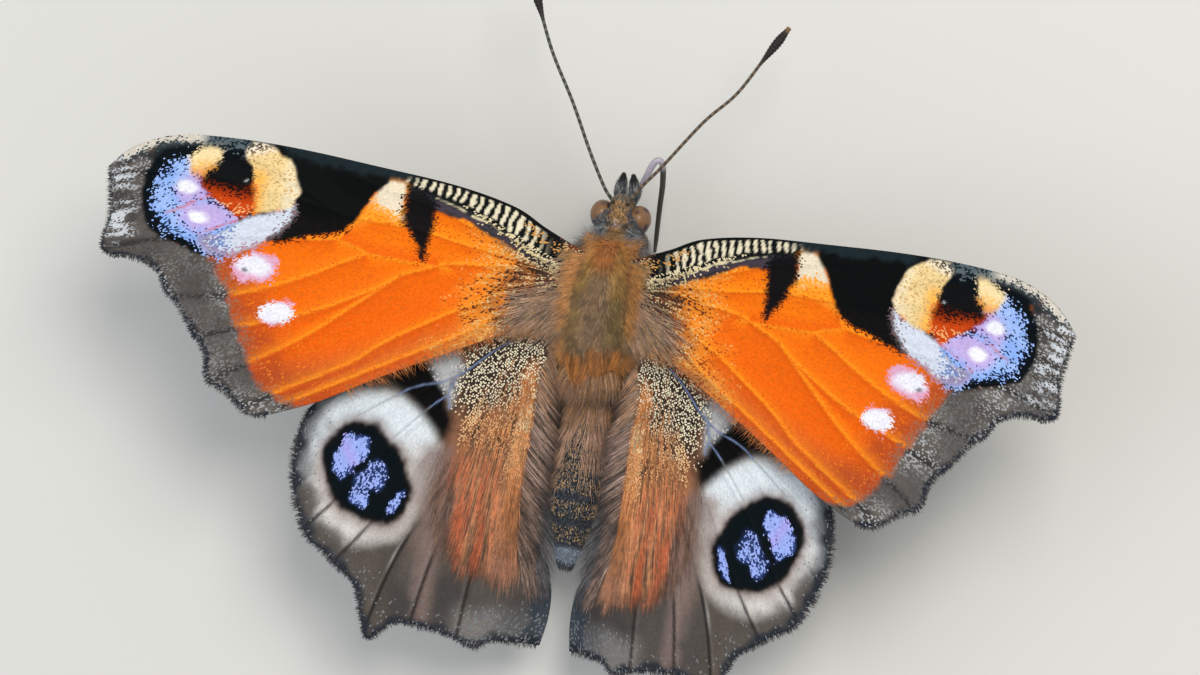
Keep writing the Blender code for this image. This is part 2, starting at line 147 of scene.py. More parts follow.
def off_line(spot, line, reach=2.0):
    """Distance from a smooth open line, below 0 on its right, and how far along it, from 0 to 1."""
    path = curve(line, 8 * len(line))
    start = path[:-1]
    run = np.diff(path, axis=0)
    away = np.full(len(spot), reach)
    share = np.zeros(len(spot))
    close = ((spot > path.min(0) - reach) & (spot < path.max(0) + reach)).all(1)
    gap = spot[close][:, None] - start
    t = np.clip((gap * run).sum(2) / (run ** 2).sum(1), 0, 1)
    rest = gap - t[..., None] * run
    length = np.sqrt((rest ** 2).sum(2))
    best = length.argmin(1)
    row = np.arange(len(best))
    turn = run[best, 0] * gap[row, best, 1] - run[best, 1] * gap[row, best, 0]
    away[close] = np.minimum(length[row, best], reach) * np.where(turn < 0, -1, 1)
    share[close] = (best + t[row, best]) / len(run)
    return away, share


def off_veins(spot, veins):
    """Distance from the nearest vein, below 0 on its rear side."""
    best = np.full(len(spot), 2.0)
    for vein in veins:
        away = off_line(spot, vein)[0]
        best = np.where(np.abs(away) < np.abs(best), away, best)
    return best


def lay(layer, colour, cover):
    """Lay a colour over a layer of colours with cover: the new cover hides its own share of what lies below."""
    shade = linear(colour) if isinstance(colour, str) else colour
    cover = np.clip(cover, 0, 1)
    below = layer[:, 3] * (1 - cover)
    layer[:, 3] = cover + below
    layer[:, :3] = (shade * cover[:, None] + layer[:, :3] * below[:, None]) / np.maximum(layer[:, 3:], 1e-6)


def edge(depth, soft):
    """Cover that rises from 0 to 1 across an edge as wide as soft."""
    return ease(0.5 + depth / soft)


def patch(front, rear, root, outer, grid):
    """Coons patch of four edges: the blends of both pairs of opposite edges, less the blend of the corners."""
    u = np.linspace(0, 1, grid[0])[:, None, None]
    v = np.linspace(0, 1, grid[1])[None, :, None]
    f = curve(front, grid[0])[:, None]
    r = curve(rear, grid[0])[:, None]
    a = curve(root, grid[1])[None]
    b = curve(outer, grid[1])[None]
    corners = (1 - u) * ((1 - v) * r[:1] + v * f[:1]) + u * ((1 - v) * r[-1:] + v * f[-1:])
    return (1 - v) * r + v * f + (1 - u) * a + u * b - corners


def fore_sheet(side, spot):
    """Middle of a forewing: a slope that rises outwards, bowed up by half a sine wave."""
    x = spot[..., 0]
    bow = CAMBER * np.sin(np.pi * np.clip(x / FORE_SPAN, 0, 1))
    return np.stack([side * (ROOT_OUT + x * np.cos(FORE_RISE)), spot[..., 1],
                     ROOT_HEIGHT + x * np.sin(FORE_RISE) + bow], -1)


def relief(spot, veins):
    """Height over the sheet: a round ridge on each vein, and the membrane hanging slack between them."""
    away = np.abs(off_veins(spot, veins))
    return VEIN_HEIGHT * np.exp(-(away / VEIN_WIDTH) ** 2) - SAG * (1 - np.exp(-(away / SAG_REACH) ** 2))


def add_node(tree, kind, settings, inputs):
    """Add a shader node, set its properties, and give each input a value or another node's output."""
    made = tree.nodes.new("ShaderNode" + kind)
    for name, value in settings.items():
        setattr(made, name, value)
    for name, value in inputs.items():
        if isinstance(value, bpy.types.NodeSocket):
            tree.links.new(value, made.inputs[name])
        else:
            made.inputs[name].default_value = value
    return made


def new_material(name):
    """An empty node material, and the tree to build it in."""
    material = bpy.data.materials.new(name)
    material.use_nodes = True
    material.node_tree.nodes.clear()
    return material, material.node_tree


def make_piece(name, points, faces, material, layers, maps, nodes=()):
    """Put arrays into a mesh: points in mm, faces as arrays of corner rows, colour layers by point, maps by corner."""
    mesh = bpy.data.meshes.new(name)
    mesh.vertices.add(len(points))
    mesh.vertices.foreach_set("co", ((points + (0, HEAD_TO_ORIGIN, 0)) * MM).ravel())
    corners = np.concatenate([f.ravel() for f in faces])
    sizes = np.concatenate([np.full(len(f), f.shape[1]) for f in faces])
    mesh.loops.add(len(corners))
    mesh.loops.foreach_set("vertex_index", corners)
    mesh.polygons.add(len(sizes))
    mesh.polygons.foreach_set("loop_start", np.cumsum(sizes) - sizes)
    mesh.update(calc_edges=True)
    mesh.shade_smooth()
    for word, colours in layers.items():
        mesh.attributes.new(word, "FLOAT_COLOR", "POINT").data.foreach_set("color", colours.ravel())
    for word, spots in maps.items():
        mesh.uv_layers.new(name=word).data.foreach_set("uv", spots.ravel())
    mesh.materials.append(material)
    piece = bpy.data.objects.new(name, mesh)
    bpy.context.collection.objects.link(piece)
    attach(piece, "root")
    if nodes:
        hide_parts(*nodes)
    return piece


def wing_scales(name, dots_per_mm, dot_reach):
    """Peacock wing scales: flat chitin plates about 0.08 by 0.13 mm, laid in rows. Each plate holds one colour, so
    every edge of a marking breaks up into single plates, and each is domed, which gives a soft satin grain. Pale
    flecks are picked from cells of their own, whole or cut to round dots by the reach from the cell's middle."""
    material, tree = new_material(name)
    lie = add_node(tree, "UVMap", {"uv_map": "lie"}, {})
    ground = add_node(tree, "Attribute", {"attribute_name": "ground"}, {})
    marks = add_node(tree, "Attribute", {"attribute_name": "marks"}, {})
    flecks = add_node(tree, "Attribute", {"attribute_name": "flecks"}, {})
    rows = add_node(tree, "Mapping", {}, {"Vector": lie.outputs["UV"], "Scale": (7.5, 12.5, 1.0)})
    plates = add_node(tree, "TexVoronoi", {"voronoi_dimensions": "2D"},
                      {"Vector": rows.outputs[0], "Scale": 1.0, "Randomness": 0.8})
    chance = add_node(tree, "SeparateColor", {}, {"Color": plates.outputs["Color"]})
    marked = add_node(tree, "Math", {"operation": "LESS_THAN"}, {0: chance.outputs[0], 1: marks.outputs["Alpha"]})
    painted = add_node(tree, "Mix", {"data_type": "RGBA"},
                       {0: marked.outputs[0], 6: ground.outputs["Color"], 7: marks.outputs["Color"]})
    wide = add_node(tree, "Mapping", {}, {"Vector": lie.outputs["UV"], "Scale": (*dots_per_mm, 1.0)})
    dots = add_node(tree, "TexVoronoi", {"voronoi_dimensions": "2D"},
                    {"Vector": wide.outputs[0], "Scale": 1.0, "Randomness": 0.8})
    dot_chance = add_node(tree, "SeparateColor", {}, {"Color": dots.outputs["Color"]})
    picked = add_node(tree, "Math", {"operation": "LESS_THAN"},
                      {0: dot_chance.outputs[0], 1: flecks.outputs["Alpha"]})
    middle = add_node(tree, "Math", {"operation": "LESS_THAN"}, {0: dots.outputs["Distance"], 1: dot_reach})
    flecked = add_node(tree, "Math", {"operation": "MULTIPLY"}, {0: picked.outputs[0], 1: middle.outputs[0]})
    dotted = add_node(tree, "Mix", {"data_type": "RGBA"},
                      {0: flecked.outputs[0], 6: painted.outputs[2], 7: flecks.outputs["Color"]})
    shade = add_node(tree, "MapRange", {}, {"Value": chance.outputs[1], "To Min": 0.87, "To Max": 1.1})
    varied = add_node(tree, "Mix", {"data_type": "RGBA", "blend_type": "MULTIPLY"},
                      {0: 1.0, 6: dotted.outputs[2], 7: shade.outputs[0]})
    dome = add_node(tree, "Math", {"operation": "SUBTRACT"}, {0: 1.0, 1: plates.outputs["Distance"]})
    bump = add_node(tree, "Bump", {}, {"Height": dome.outputs[0], "Strength": 0.3, "Distance": 0.00003})
    shader = add_node(tree, "BsdfPrincipled", {},
                      {"Base Color": varied.outputs[2], "Roughness": 0.65, "Specular IOR Level": 0.06,
                       "Normal": bump.outputs[0]})
    add_node(tree, "OutputMaterial", {}, {"Surface": shader.outputs[0]})
    return material


def make_wing(name, side, spots, sheet, veins, turn, colours, material):
    """A closed thin sheet: the upper face on the grid of spots and the lower on every second one, each half the
    thickness off the relief, joined round the rim. Colours are the upper face's function and its seed."""
    flat = (spots.reshape(-1, 2), spots[::2, ::2].reshape(-1, 2))
    top = np.arange(len(flat[0])).reshape(spots.shape[:2])
    low = len(flat[0]) + np.arange(len(flat[1])).reshape(top[::2, ::2].shape)
    quads, rings = [], []
    for index in (top, low):
        quads.append(np.stack([index[:-1, :-1], index[1:, :-1], index[1:, 1:], index[:-1, 1:]], -1).reshape(-1, 4))
        rings.append(np.concatenate([index[:-1, 0], index[-1, :-1], index[:0:-1, -1], index[0, :0:-1]]))
    near, middle, far = rings[0][::2], rings[0][1::2], np.roll(rings[0], -2)[::2]
    below = rings[1]
    faces = [quads[0], quads[1][:, ::-1], np.stack([below, np.roll(below, -1), far, middle], 1),
             np.stack([below, middle, near], 1)]
    mapped = faces[:2] + [np.stack([near, far, far, middle], 1), np.stack([near, middle, near], 1)]
    if side < 0:
        faces, mapped = ([f[:, ::-1] for f in group] for group in (faces, mapped))
    corners = np.concatenate([f.ravel() for f in mapped])
    paint, seed = colours
    upper, lower = paint(flat[0], seed), under_colours(flat[1], seed)
    layers = {word: np.vstack([upper[word], lower[word]]) for word in upper}
    both = np.vstack(flat)
    cosine, sine = np.cos(turn), np.sin(turn)
    lie = np.stack([both[:, 0] * cosine + both[:, 1] * sine, both[:, 1] * cosine - both[:, 0] * sine], 1)
    unwrap = (both - both.min(0)) / np.ptp(both, axis=0).max() * 0.48 + (0.01, 0.01)
    unwrap[len(flat[0]):, 0] += 0.5
    points = sheet(side, both)
    points[:, 2] += relief(both, veins)
    points[:len(flat[0]), 2] += WING_THICKNESS / 2
    points[len(flat[0]):, 2] -= WING_THICKNESS / 2
    return make_piece(name, points, faces, material, layers, {"lie": lie[corners], "OFBake": unwrap[corners]},
                      (name,))


plate_scales = wing_scales("forewing scales, tiled chitin", (9.5, 16.0), 9.0)
bead_scales = wing_scales("hindwing scales, tiled chitin", (6.6, 8.2), 0.4)


class Painter:
    """The layers of a wing's upper face: ground, the chance of single plates of another colour, and pale flecks."""

    def __init__(self, spot, seed, veins):
        self.spot = spot
        self.ground = np.ones((len(spot), 4))
        self.marks = np.zeros((len(spot), 4))
        self.flecks = np.zeros((len(spot), 4))
        self.cloud = noise(spot / 2.3, seed)
        self.blotch = noise(spot / 0.75, seed + 1)
        self.grain = noise(spot / 0.28, seed + 2)
        self.fray = 0.10 * self.blotch + 0.07 * self.grain
        self.vein = off_veins(spot, veins)

    def area(self, outline, soft, wobble=1.0, grow=0.0):
        """Cover of a closed outline with a frayed edge, grown outwards by grow."""
        return edge(depth_in(self.spot, outline) + grow + wobble * self.fray, soft)

    def stroke(self, line, width, soft):
        """Cover of an open line of that half width."""
        return edge(width - np.abs(off_line(self.spot, line)[0]) + 0.5 * self.fray, soft)

    def tint(self, colour, cover):
        lay(self.ground, colour, cover)

    def mark(self, colour, cover):
        lay(self.marks, colour, cover)

    def fleck(self, colour, cover):
        lay(self.flecks, colour, cover)

    def cover_with(self, colour, cover):
        """An opaque marking: it tints the ground and clears the plates laid there before."""
        self.tint(colour, cover)
        for layer in (self.marks, self.flecks):
            layer[:, 3] *= 1 - np.clip(cover, 0, 1)

    def layers(self):
        return dict(ground=self.ground, marks=self.marks, flecks=self.flecks)


def fore_colours(spot, seed):
    """Markings of a forewing's upper face, laid from the orange field up to the single scales of the eyespot."""
    paint = Painter(spot, seed, FORE_VEINS)
    tint, mark, fleck, cover_with, area = paint.tint, paint.mark, paint.fleck, paint.cover_with, paint.area
    cloud, blotch, grain, fray, vein = paint.cloud, paint.blotch, paint.grain, paint.fray, paint.vein
    x, y = spot.T
    turn = np.arctan2(y + 5.0, x + 1.0)
    streak = noise(np.stack([np.hypot(x + 1.0, y + 5.0) / 1.5, turn * 40], 1), seed + 3)
    front_y = np.interp(x, *np.array(FORE_FRONT).T)
    foot_y = np.interp(x, *np.array(ZEBRA_FOOT[::-1]).T)
    border = -off_line(spot, BORDER_IN, 40.0)[0]
    margin = np.abs(off_line(spot, FORE_OUTER)[0])

    # Orange field, brighter toward the front and the cell, duller and redder toward the border and the rear edge, with
    # painted light and shade along the veins
    tint("F8730C", np.ones(len(x)))
    tint("FF9312", 0.4 * ease((y + 5.8) / 3.0) * ease((14.5 - x) / 4))
    tint("F0620C", 0.75 * ease((-4.2 - y - 0.30 * (x - 10.0)) / 5.0))
    tint("C9602C", 0.9 * ease((-10.2 - y - 0.42 * (x - 12.0)) / 2.6))
    tint("AC4A24", 0.9 * ease((3.8 - border + 0.5 * blotch) / 3.2))
    # painted highlight along the front edge of each vein ridge, then a painted lighter band in front of each vein
    tint("FFA126", 0.6 * edge(0.10 - np.abs(vein - 0.06), 0.18) * ease((x - 1) / 4))
    tint("FF9418", 0.35 * ease(1 - vein / 0.9) * (vein > 0))
    # painted shade in a band behind each vein
    tint("E2580A", 0.45 * ease(1 + vein / 1.1) * (vein < 0))
    mark("E0620F", 0.08 + 0.06 * cloud)
    mark("FF9A30", 0.05 * ease(0.5 - border / 30))

    # Base: cream and dark plates over ochre, thickest at the hinge; behind it they turn hair-like and pinkish
    reach = x + 0.9 * blotch - 0.2 * np.clip(-6.2 - y, -1.5, 9)
    sparse = ease((7.6 - reach) / 3.4)
    dense = ease((5.0 - reach) / 3.0)
    behind = ease((-6.4 - y - 0.38 * x + 0.3 * streak) / 1.6)
    tint("F0952E", 0.75 * sparse)
    tint("C98A4A", 0.7 * behind * sparse)
    tint("7E654C", 0.8 * behind * dense)
    tint("2B2D30", 0.95 * dense * (1 - 0.3 * behind))
    cover = sparse * (0.2 + 0.45 * dense) * (1 + 0.6 * streak)
    mark("2A2622", 0.75 * cover * ease(0.5 + 1.2 * streak) * (1 - 0.35 * behind))
    fleck("E8B468", 0.3 * sparse * (1 - 0.7 * dense) * ease(0.5 - 1.2 * streak))
    fleck("CCC09A", 0.45 * dense * ease(0.35 - 1.3 * streak) * (1 - 0.75 * behind))

    # Border: grey brown with pale plates, a dark streak along each vein, and pale rays at the apex
    out = edge(-border + 1.6 * fray, 0.5)
    cover_with("5C5753", out)
    tint("878079", out * 0.5 * ease(0.5 + cloud) * ease(1 - np.abs(np.abs(vein) - 0.8) / 0.7))
    tint("2E2C2B", out * 0.85 * edge(0.16 - np.abs(vein), 0.22))
    tint("474240", out * 0.45 * ease(0.3 + blotch))
    mark("A9ABAD", out * 0.17 * (1 + cloud))
    mark("2F2C2B", out * 0.22 * ease(0.6 - cloud))
    apex = ease((x - 26.6) / 1.0) * ease((y + 7.6) / 1.2)
    ray = noise(np.stack([(y + 0.32 * x) * 4.6, x * 0.7], 1), seed + 5)
    tint("3C3836", out * apex * 0.7 * ease(-0.1 - 2.0 * ray))
    mark("CDD3DA", 0.9 * apex * ease(0.3 + 1.8 * ray) * ease((2.0 - margin) / 1.4))
    tint("232833", out * ease((0.42 + 0.2 * blotch - margin) / 0.4) * (1 - 0.7 * apex))
    fade = (1 - out) * ease(1 - border / 1.1)
    mark("8A6250", 0.34 * fade * (1 + cloud))

    # Front edge: slate from the black patch to the apex, zebra bars toward the base with dark stripes below them
    cover_with("24242A", edge(depth_in(spot, COSTAL_STRIPE) + fray, 0.3) * (1 - 0.7 * dense))
    tint("24292F", 0.9 * edge(depth_in(spot, COSTAL_STRIPE) + fray, 0.3))
    cover_with("443C48", edge(depth_in(spot, VIOLET_STRIPE) + 0.5 * fray, 0.25))
    mark("E6D3A0", 0.22 * edge(depth_in(spot, COSTAL_STRIPE) + 0.1, 0.5) * ease((6.6 - x + blotch) / 3.0))
    band = ease((x - 9.5) / 1.5) * ease((27.5 - x) / 1.0)
    cover_with("1B272C", band * edge(y - front_y + 1.2 + 2 * fray, 0.6))
    mark("41525C", 0.2 * band * edge(y - front_y + 0.8, 0.6))
    strip = ease((11.6 - x) / 0.5) * ease((x - 0.2) / 0.8)
    cover_with("0D1112", strip * edge(y - foot_y + 0.25, 0.2))
    wave = x + 0.2 * (y - front_y) + 0.10 * noise(spot / 0.4, seed + 6) + 0.05 * grain
    bar = np.sin(2 * np.pi * wave / ZEBRA_STEP + 0.5 * noise(spot / (1.4, 3.0), 45))
    cream = strip * edge(bar - 0.12 + 0.42 * noise(spot / (0.5, 0.25), 46), 0.5)
    cream *= edge(front_y - 0.13 - 0.12 * ease((5.0 - x) / 3.0) - y, 0.06)
    cream *= ease((x - 1.2) / 1.6) * edge(y - foot_y - 0.12 * noise(spot / 0.5, 47), 0.16)
    tint("E8DFC2", cream)
    mark("E2D5AE", 0.5 * strip * edge(0.2 - np.abs(y - foot_y + 0.2), 0.3) * ease(0.9 - 0.1 * x))
    hinge = ease((3.6 - x) / 1.2) * edge(front_y - 0.3 - y, 0.1) * edge(y - front_y + 1.1, 0.4)
    mark("D49C58", 0.27 * hinge)
    tint("E0D4B0", paint.stroke(CREAM_LINE, 0.03, 0.1) * ease(0.5 + 2.6 * grain))

    # Cream bar that fades through yellow to orange, the black wedge and the black patch beside it
    fade_down = ease((y + 3.0 - 0.14 * (x - 11) + 0.5 * blotch) / 0.9)
    cover_with("FFA22A", area(CREAM_BAR, 1.0))
    mark("E8741A", 0.25 * area(CREAM_BAR, 0.8) * (1 - fade_down))
    cover_with("EDE0C6", area(CREAM_BAR, 0.3) * fade_down)
    mark("F9A636", 0.75 * area(CREAM_BAR, 0.6) * (fade_down * (1 - fade_down) * 4))
    cover_with("100E10", area(WEDGE, 0.5))
    mark("100E10", 0.55 * area(WEDGE, 0.5, 1.4, 0.16))
    cover_with("07090A", area(BLACK_PATCH, 0.25))
    mark("120D0D", 0.55 * area(BLACK_PATCH, 0.5, 1.4, 0.18) * ease((-3.4 - y) / 0.6))
    cover_with("1B272C", band * edge(y - front_y + 0.55 + 2 * fray, 0.5) * ease((19.0 - x) / 1.0))

    # Eyespot: black ring, blue and lilac plates, red-brown, black pupil, gold crescent and white band
    cover_with("050D13", area(RING, 0.3))
    cover_with("1B2C4C", area(BLUE_FIELD, 0.3, 1.8))
    mark("8DB2F6", 0.8 * area(BLUE_FIELD, 0.9, 2.2))
    mark("B3CBFA", 0.4 * area(BLUE_FIELD, 1.2) * ease(0.4 + blotch))
    for lobe in LILAC_LOBES:
        tint("6E5496", area(lobe, 0.5))
        mark("CDB6EC", 0.8 * area(lobe, 0.8, 1.5, 0.1))
        mark("A04A80", 0.12 * area(lobe, 0.6))
    cover_with("D2DAEA", area(WHITE_BAND, 0.3))
    lilac_edge = edge(0.3 - np.abs(off_line(spot, RED_LINES[1])[0] + 0.35), 0.4)
    mark("C2AEE6", 0.75 * area(WHITE_BAND, 0.4) * lilac_edge)
    mark("8FB2F6", 0.5 * area(WHITE_BAND, 0.4, 2.0) * ease((x - 20.6) / 1.4))
    mark("2C3550", 0.3 * area(WHITE_BAND, 0.4, 2.0) * ease((x - 20.6) / 1.4))
    rim = edge(0.22 - depth_in(spot, WHITE_BAND), 0.35) * area(WHITE_BAND, 0.4, 1.0, 0.25)
    mark("8A7478", 0.4 * rim * ease((19.6 - x) / 1.0))
    mark("B58A9C", 0.4 * edge(0.3 - np.abs(depth_in(spot, WHITE_BAND)), 0.4) * ease((-5.6 - y) / 0.4))
    cover_with("CB450E", area(RED_BROWN, 0.3, 1.6))
    shadow = ease((y + 3.7 - 0.08 * (x - 20)) / 1.1)
    tint("6A1E08", area(RED_BROWN, 0.5) * shadow)
    mark("2A0E08", 0.6 * area(RED_BROWN, 0.5) * shadow)
    mark("F0B070", 0.3 * area(RED_BROWN, 0.5) * ease((-3.4 - y) / 0.5))
    for line in RED_LINES:
        tint("CC5226", paint.stroke(line, 0.045, 0.12))
        mark("CC5226", 0.6 * paint.stroke(line, 0.05, 0.14))
    cover_with("EED296", area(CRESCENT, 0.22))
    mark("D0AC70", 0.16 * area(CRESCENT, 0.3))
    tint("F1E6C8", 0.8 * area(CRESCENT, 0.3) * ease((18.8 - x + 0.3 * blotch) / 1.2))
    tint("FFB74A", 0.9 * area(CRESCENT, 0.3) * ease((x - 19.0 + 0.2 * blotch) / 0.9) * ease((-0.9 - y) / 0.9))
    mark("E8791C", 0.5 * edge(0.22 - np.abs(depth_in(spot, CRESCENT)), 0.3) * ease((x - 19.5) / 0.5) * (y < -2.0))
    tint("EDE6D6", 0.9 * area(CRESCENT, 0.3) * ease(0.4 + (y + 0.15 + 0.35 * (x - 19.5)) / 0.7))
    mark("2B3236", 0.62 * area(CRESCENT, 0.6) * ease(0.2 + (y + 0.1 + 0.5 * (x - 19.8)) / 0.8))
    cover_with("0B0D0F", area(PUPIL, 0.25, 1.4))
    mark("0B0D0F", 0.6 * area(PUPIL, 0.5, 1.6, 0.12))
    mark("DDE3E6", 0.5 * edge(0.13 - np.hypot(x - 20.7, 2.5 * (y + 2.1)), 0.1))
    cover_with("F6DDA8", area(CREAM_SPOT, 0.25, 1.4))
    tint("F9C068", area(CREAM_SPOT, 0.3) * ease((-1.1 - y - 0.3 * (x - 23.6)) / 0.4))
    tint("BFA070", paint.stroke([(24.4, -1.4), (23.6, -1.25), (22.6, -1.0)], 0.02, 0.1) * 0.6)
    mark("F6DDA8", 0.5 * area(CREAM_SPOT, 0.5, 1.6, 0.16))
    mark("E99C3A", 0.8 * area(ORANGE_CORNER, 0.5, 1.4))
    for centre in WHITE_DOTS:
        away = np.hypot((x - centre[0]) / 0.52, (y - centre[1]) / 0.34)
        tint("F6F9FF", edge(1.05 - away + fray, 0.5))
        mark("F6F9FF", 0.95 * edge(1.15 - away + 2.4 * fray, 0.8))

    # Costa before the apex: a beige strip, and slate plates between the crescent and the cream spot
    beige = edge(0.26 + 0.1 * blotch - np.abs(off_line(spot, BEIGE_EDGE)[0]), 0.3)
    tint("3A4044", edge(0.5 - np.abs(off_line(spot, BEIGE_EDGE)[0]), 0.4))
    mark("D6D0C4", 0.85 * beige)
    slate = ease((x - 20.3) / 0.5) * ease((24.2 - x) / 0.8) * edge(y - front_y + 0.85 + 2 * fray, 0.7)
    mark("59666C", 0.6 * slate * (1 - area(CREAM_SPOT, 0.3)) * (1 - area(CRESCENT, 0.4)))

    # Two white spots, the outer with lilac plates round it
    for outline, centre in ((SPOT_OUTER, (19.4, -7.3)), (SPOT_INNER, (17.6, -10.0))):
        mark("E0A8C8", 0.9 * area(outline, 0.55, 2.2, 0.14))
        heart = np.hypot((x - centre[0]) / 1.1, (y - centre[1]) / 0.64)
        tint("DCC9EC", area(outline, 0.4, 1.5))
        mark("EDF1FC", 0.94 * edge(1.0 - heart + 1.5 * fray, 0.6))
    mark("2A3350", 0.75 * edge(0.2 - np.hypot((x - 20.0), (y + 7.65) / 0.7), 0.2))
    return paint.layers()


def under_colours(spot, seed):
    """The underside: blackish brown with wavy darker lines across the wing, as bark is."""
    paint = Painter(spot, seed, [])
    paint.tint("2B2522", np.ones(len(spot)))
    wave = np.sin(4.6 * (spot[:, 0] * 0.8 - spot[:, 1] * 0.6) + 2.2 * noise(spot / 1.6, seed))
    paint.tint("151213", 0.75 * ease(0.5 + wave))
    paint.tint("4A4038", 0.35 * ease(0.2 + noise(spot / 3.5, seed + 1)))
    paint.mark("6A5E52", 0.10 * np.ones(len(spot)))
    return paint.layers()


BORDER_IN = [(27.6, -0.8), (26.4, -1.5), (26.5, -2.6), (26.6, -3.9), (26.4, -5.1), (25.4, -6.0), (24.0, -6.5),
             (22.9, -6.8), (22.2, -7.3), (21.7, -8.1), (21.0, -9.0), (20.5, -10.2), (20.1, -11.0),
             (19.6, -11.7), (19.3, -12.8), (18.7, -13.5), (18.2, -14.3), (17.7, -14.8), (16.9, -15.2),
             (16.0, -15.5), (14.6, -15.6)]
RING = [(23.8, -0.3), (24.8, -0.45), (25.6, -0.7), (26.3, -1.2), (26.6, -1.8), (27.0, -2.6), (27.1, -3.9),
        (26.9, -5.2), (26.5, -5.9), (25.8, -6.3), (24.5, -6.8), (23.1, -7.1), (22.2, -7.2), (20.8, -6.7),
        (19.4, -5.9), (18.6, -4.6), (18.8, -2.0), (19.6, -0.4), (21.5, -0.2)]
BLUE_FIELD = [(24.2, -1.3), (25.0, -1.5), (25.7, -2.0), (26.1, -2.7), (26.3, -3.4), (26.4, -4.1), (26.2, -4.8),
              (25.8, -5.6), (25.0, -6.1), (24.2, -6.4), (23.4, -6.5), (22.4, -7.0), (21.7, -7.0), (20.9, -6.6),
              (20.6, -5.6), (20.8, -4.6), (21.9, -4.0), (23.0, -3.4), (23.4, -2.8), (23.6, -2.2)]
LILAC_LOBES = ([(23.4, -2.3), (23.9, -2.4), (24.4, -2.7), (24.8, -3.2), (24.9, -3.6), (24.5, -4.0), (23.9, -3.8),
                (23.2, -3.5), (22.7, -3.3), (23.0, -2.7)],
               [(24.2, -4.4), (23.3, -3.95), (22.5, -3.9), (21.8, -4.2), (21.1, -4.5), (21.6, -4.9), (22.3, -5.3),
                (23.0, -5.6), (23.8, -5.6), (24.3, -5.1)])
WHITE_DOTS = [(24.3, -3.1), (23.4, -4.9)]
CREAM_SPOT = [(22.6, -0.55), (22.9, -0.35), (23.4, -0.4), (23.9, -0.65), (24.3, -1.0), (24.4, -1.4), (24.15, -1.8),
              (23.7, -1.85), (23.1, -1.5), (22.65, -1.0)]
ORANGE_CORNER = [(24.2, -1.8), (23.7, -1.8), (23.1, -1.5), (22.7, -1.6), (23.2, -1.9), (23.5, -2.3), (23.9, -2.2)]
BEIGE_EDGE = [(28.4, -1.75), (27.75, -1.25), (27.1, -0.75), (26.4, -0.42), (25.6, -0.15), (24.8, 0.02), (23.7, 0.1)]
PUPIL = [(23.4, -2.1), (23.0, -1.65), (22.5, -1.25), (21.9, -1.0), (21.1, -0.95), (20.6, -1.2), (20.4, -1.6),
         (20.4, -2.1), (20.6, -2.35), (21.2, -2.5), (21.9, -2.5), (22.7, -2.5)]
RED_BROWN = [(23.5, -2.4), (22.9, -2.3), (21.8, -2.3), (20.5, -2.1), (20.1, -2.6), (19.9, -3.2), (19.9, -3.8),
             (20.5, -4.2), (21.1, -4.5), (21.6, -4.1), (22.4, -3.7), (23.0, -3.3), (23.4, -2.9)]
RED_LINES = [[(25.4, -4.9), (24.7, -4.5), (24.0, -4.05), (23.3, -3.65), (22.8, -3.4)],
             [(23.2, -5.9), (22.5, -5.5), (21.8, -5.1), (21.0, -4.7), (20.4, -4.3)]]
CRESCENT = [(20.9, 0.1), (20.3, 0.3), (19.6, 0.25), (18.9, -0.1), (18.2, -0.5), (17.8, -1.2), (17.5, -1.8),
            (17.35, -2.4), (17.5, -2.9), (17.8, -3.3), (18.7, -3.7), (19.5, -4.0), (20.0, -3.9), (20.0, -2.9),
            (20.2, -2.2), (20.45, -1.6), (20.5, -1.1), (20.9, -0.6)]
WHITE_BAND = [(17.55, -3.0), (17.5, -3.6), (17.7, -4.15), (18.2, -4.8), (18.8, -5.5), (19.6, -6.0), (20.3, -6.4),
              (21.0, -6.8), (21.6, -6.8), (22.4, -6.7), (22.9, -6.3), (22.7, -6.0), (22.1, -5.7), (21.4, -5.2),
              (20.8, -4.7), (19.9, -4.2), (18.9, -3.8), (18.1, -3.5)]
BLACK_PATCH = [(19.5, 0.3), (19.2, -0.3), (18.6, -0.8), (18.2, -1.4), (18.0, -2.0), (18.0, -2.9), (18.1, -4.0),
               (18.6, -4.8), (19.0, -5.6), (18.2, -5.55), (17.3, -5.2), (16.2, -4.8), (15.2, -4.6), (14.6, -4.4),
               (14.0, -3.9), (13.4, -3.2), (12.9, -2.2), (12.4, -1.4), (11.9, -0.7), (12.3, 0.1), (15.2, 0.5)]
CREAM_BAR = [(12.3, -1.0), (11.8, -0.7), (11.3, -0.65), (10.9, -0.7), (10.7, -1.2), (10.8, -1.6), (10.75, -2.5),
             (10.6, -3.3), (11.6, -3.2), (12.5, -3.3), (13.2, -3.6), (13.9, -3.9), (13.4, -3.1), (12.9, -2.1),
             (12.6, -1.5)]
WEDGE = [(10.7, -1.1), (10.0, -1.1), (9.1, -1.5), (8.7, -2.0), (8.75, -2.7), (8.85, -3.5), (9.0, -4.5), (9.15, -5.2),
         (9.6, -4.5), (10.1, -3.8), (10.5, -3.2), (10.7, -2.5), (10.75, -1.8)]
COSTAL_STRIPE = [(11.4, -0.2), (10.8, -1.2), (8.8, -2.15), (7.1, -2.25), (6.3, -2.55), (5.3, -3.1), (4.2, -3.5),
                 (3.1, -4.0), (1.8, -4.5), (0.4, -4.9), (-0.4, -4.4), (1.4, -3.6), (3.8, -2.8), (5.2, -2.2),
                 (6.8, -1.6), (9.0, -0.9)]
VIOLET_STRIPE = [(8.8, -1.5), (8.8, -2.1), (7.9, -2.1), (6.5, -2.4), (5.1, -2.95), (3.8, -3.6), (2.6, -4.0),
                 (2.9, -3.7), (4.2, -3.1), (5.4, -2.55), (6.6, -2.15), (7.7, -1.75)]
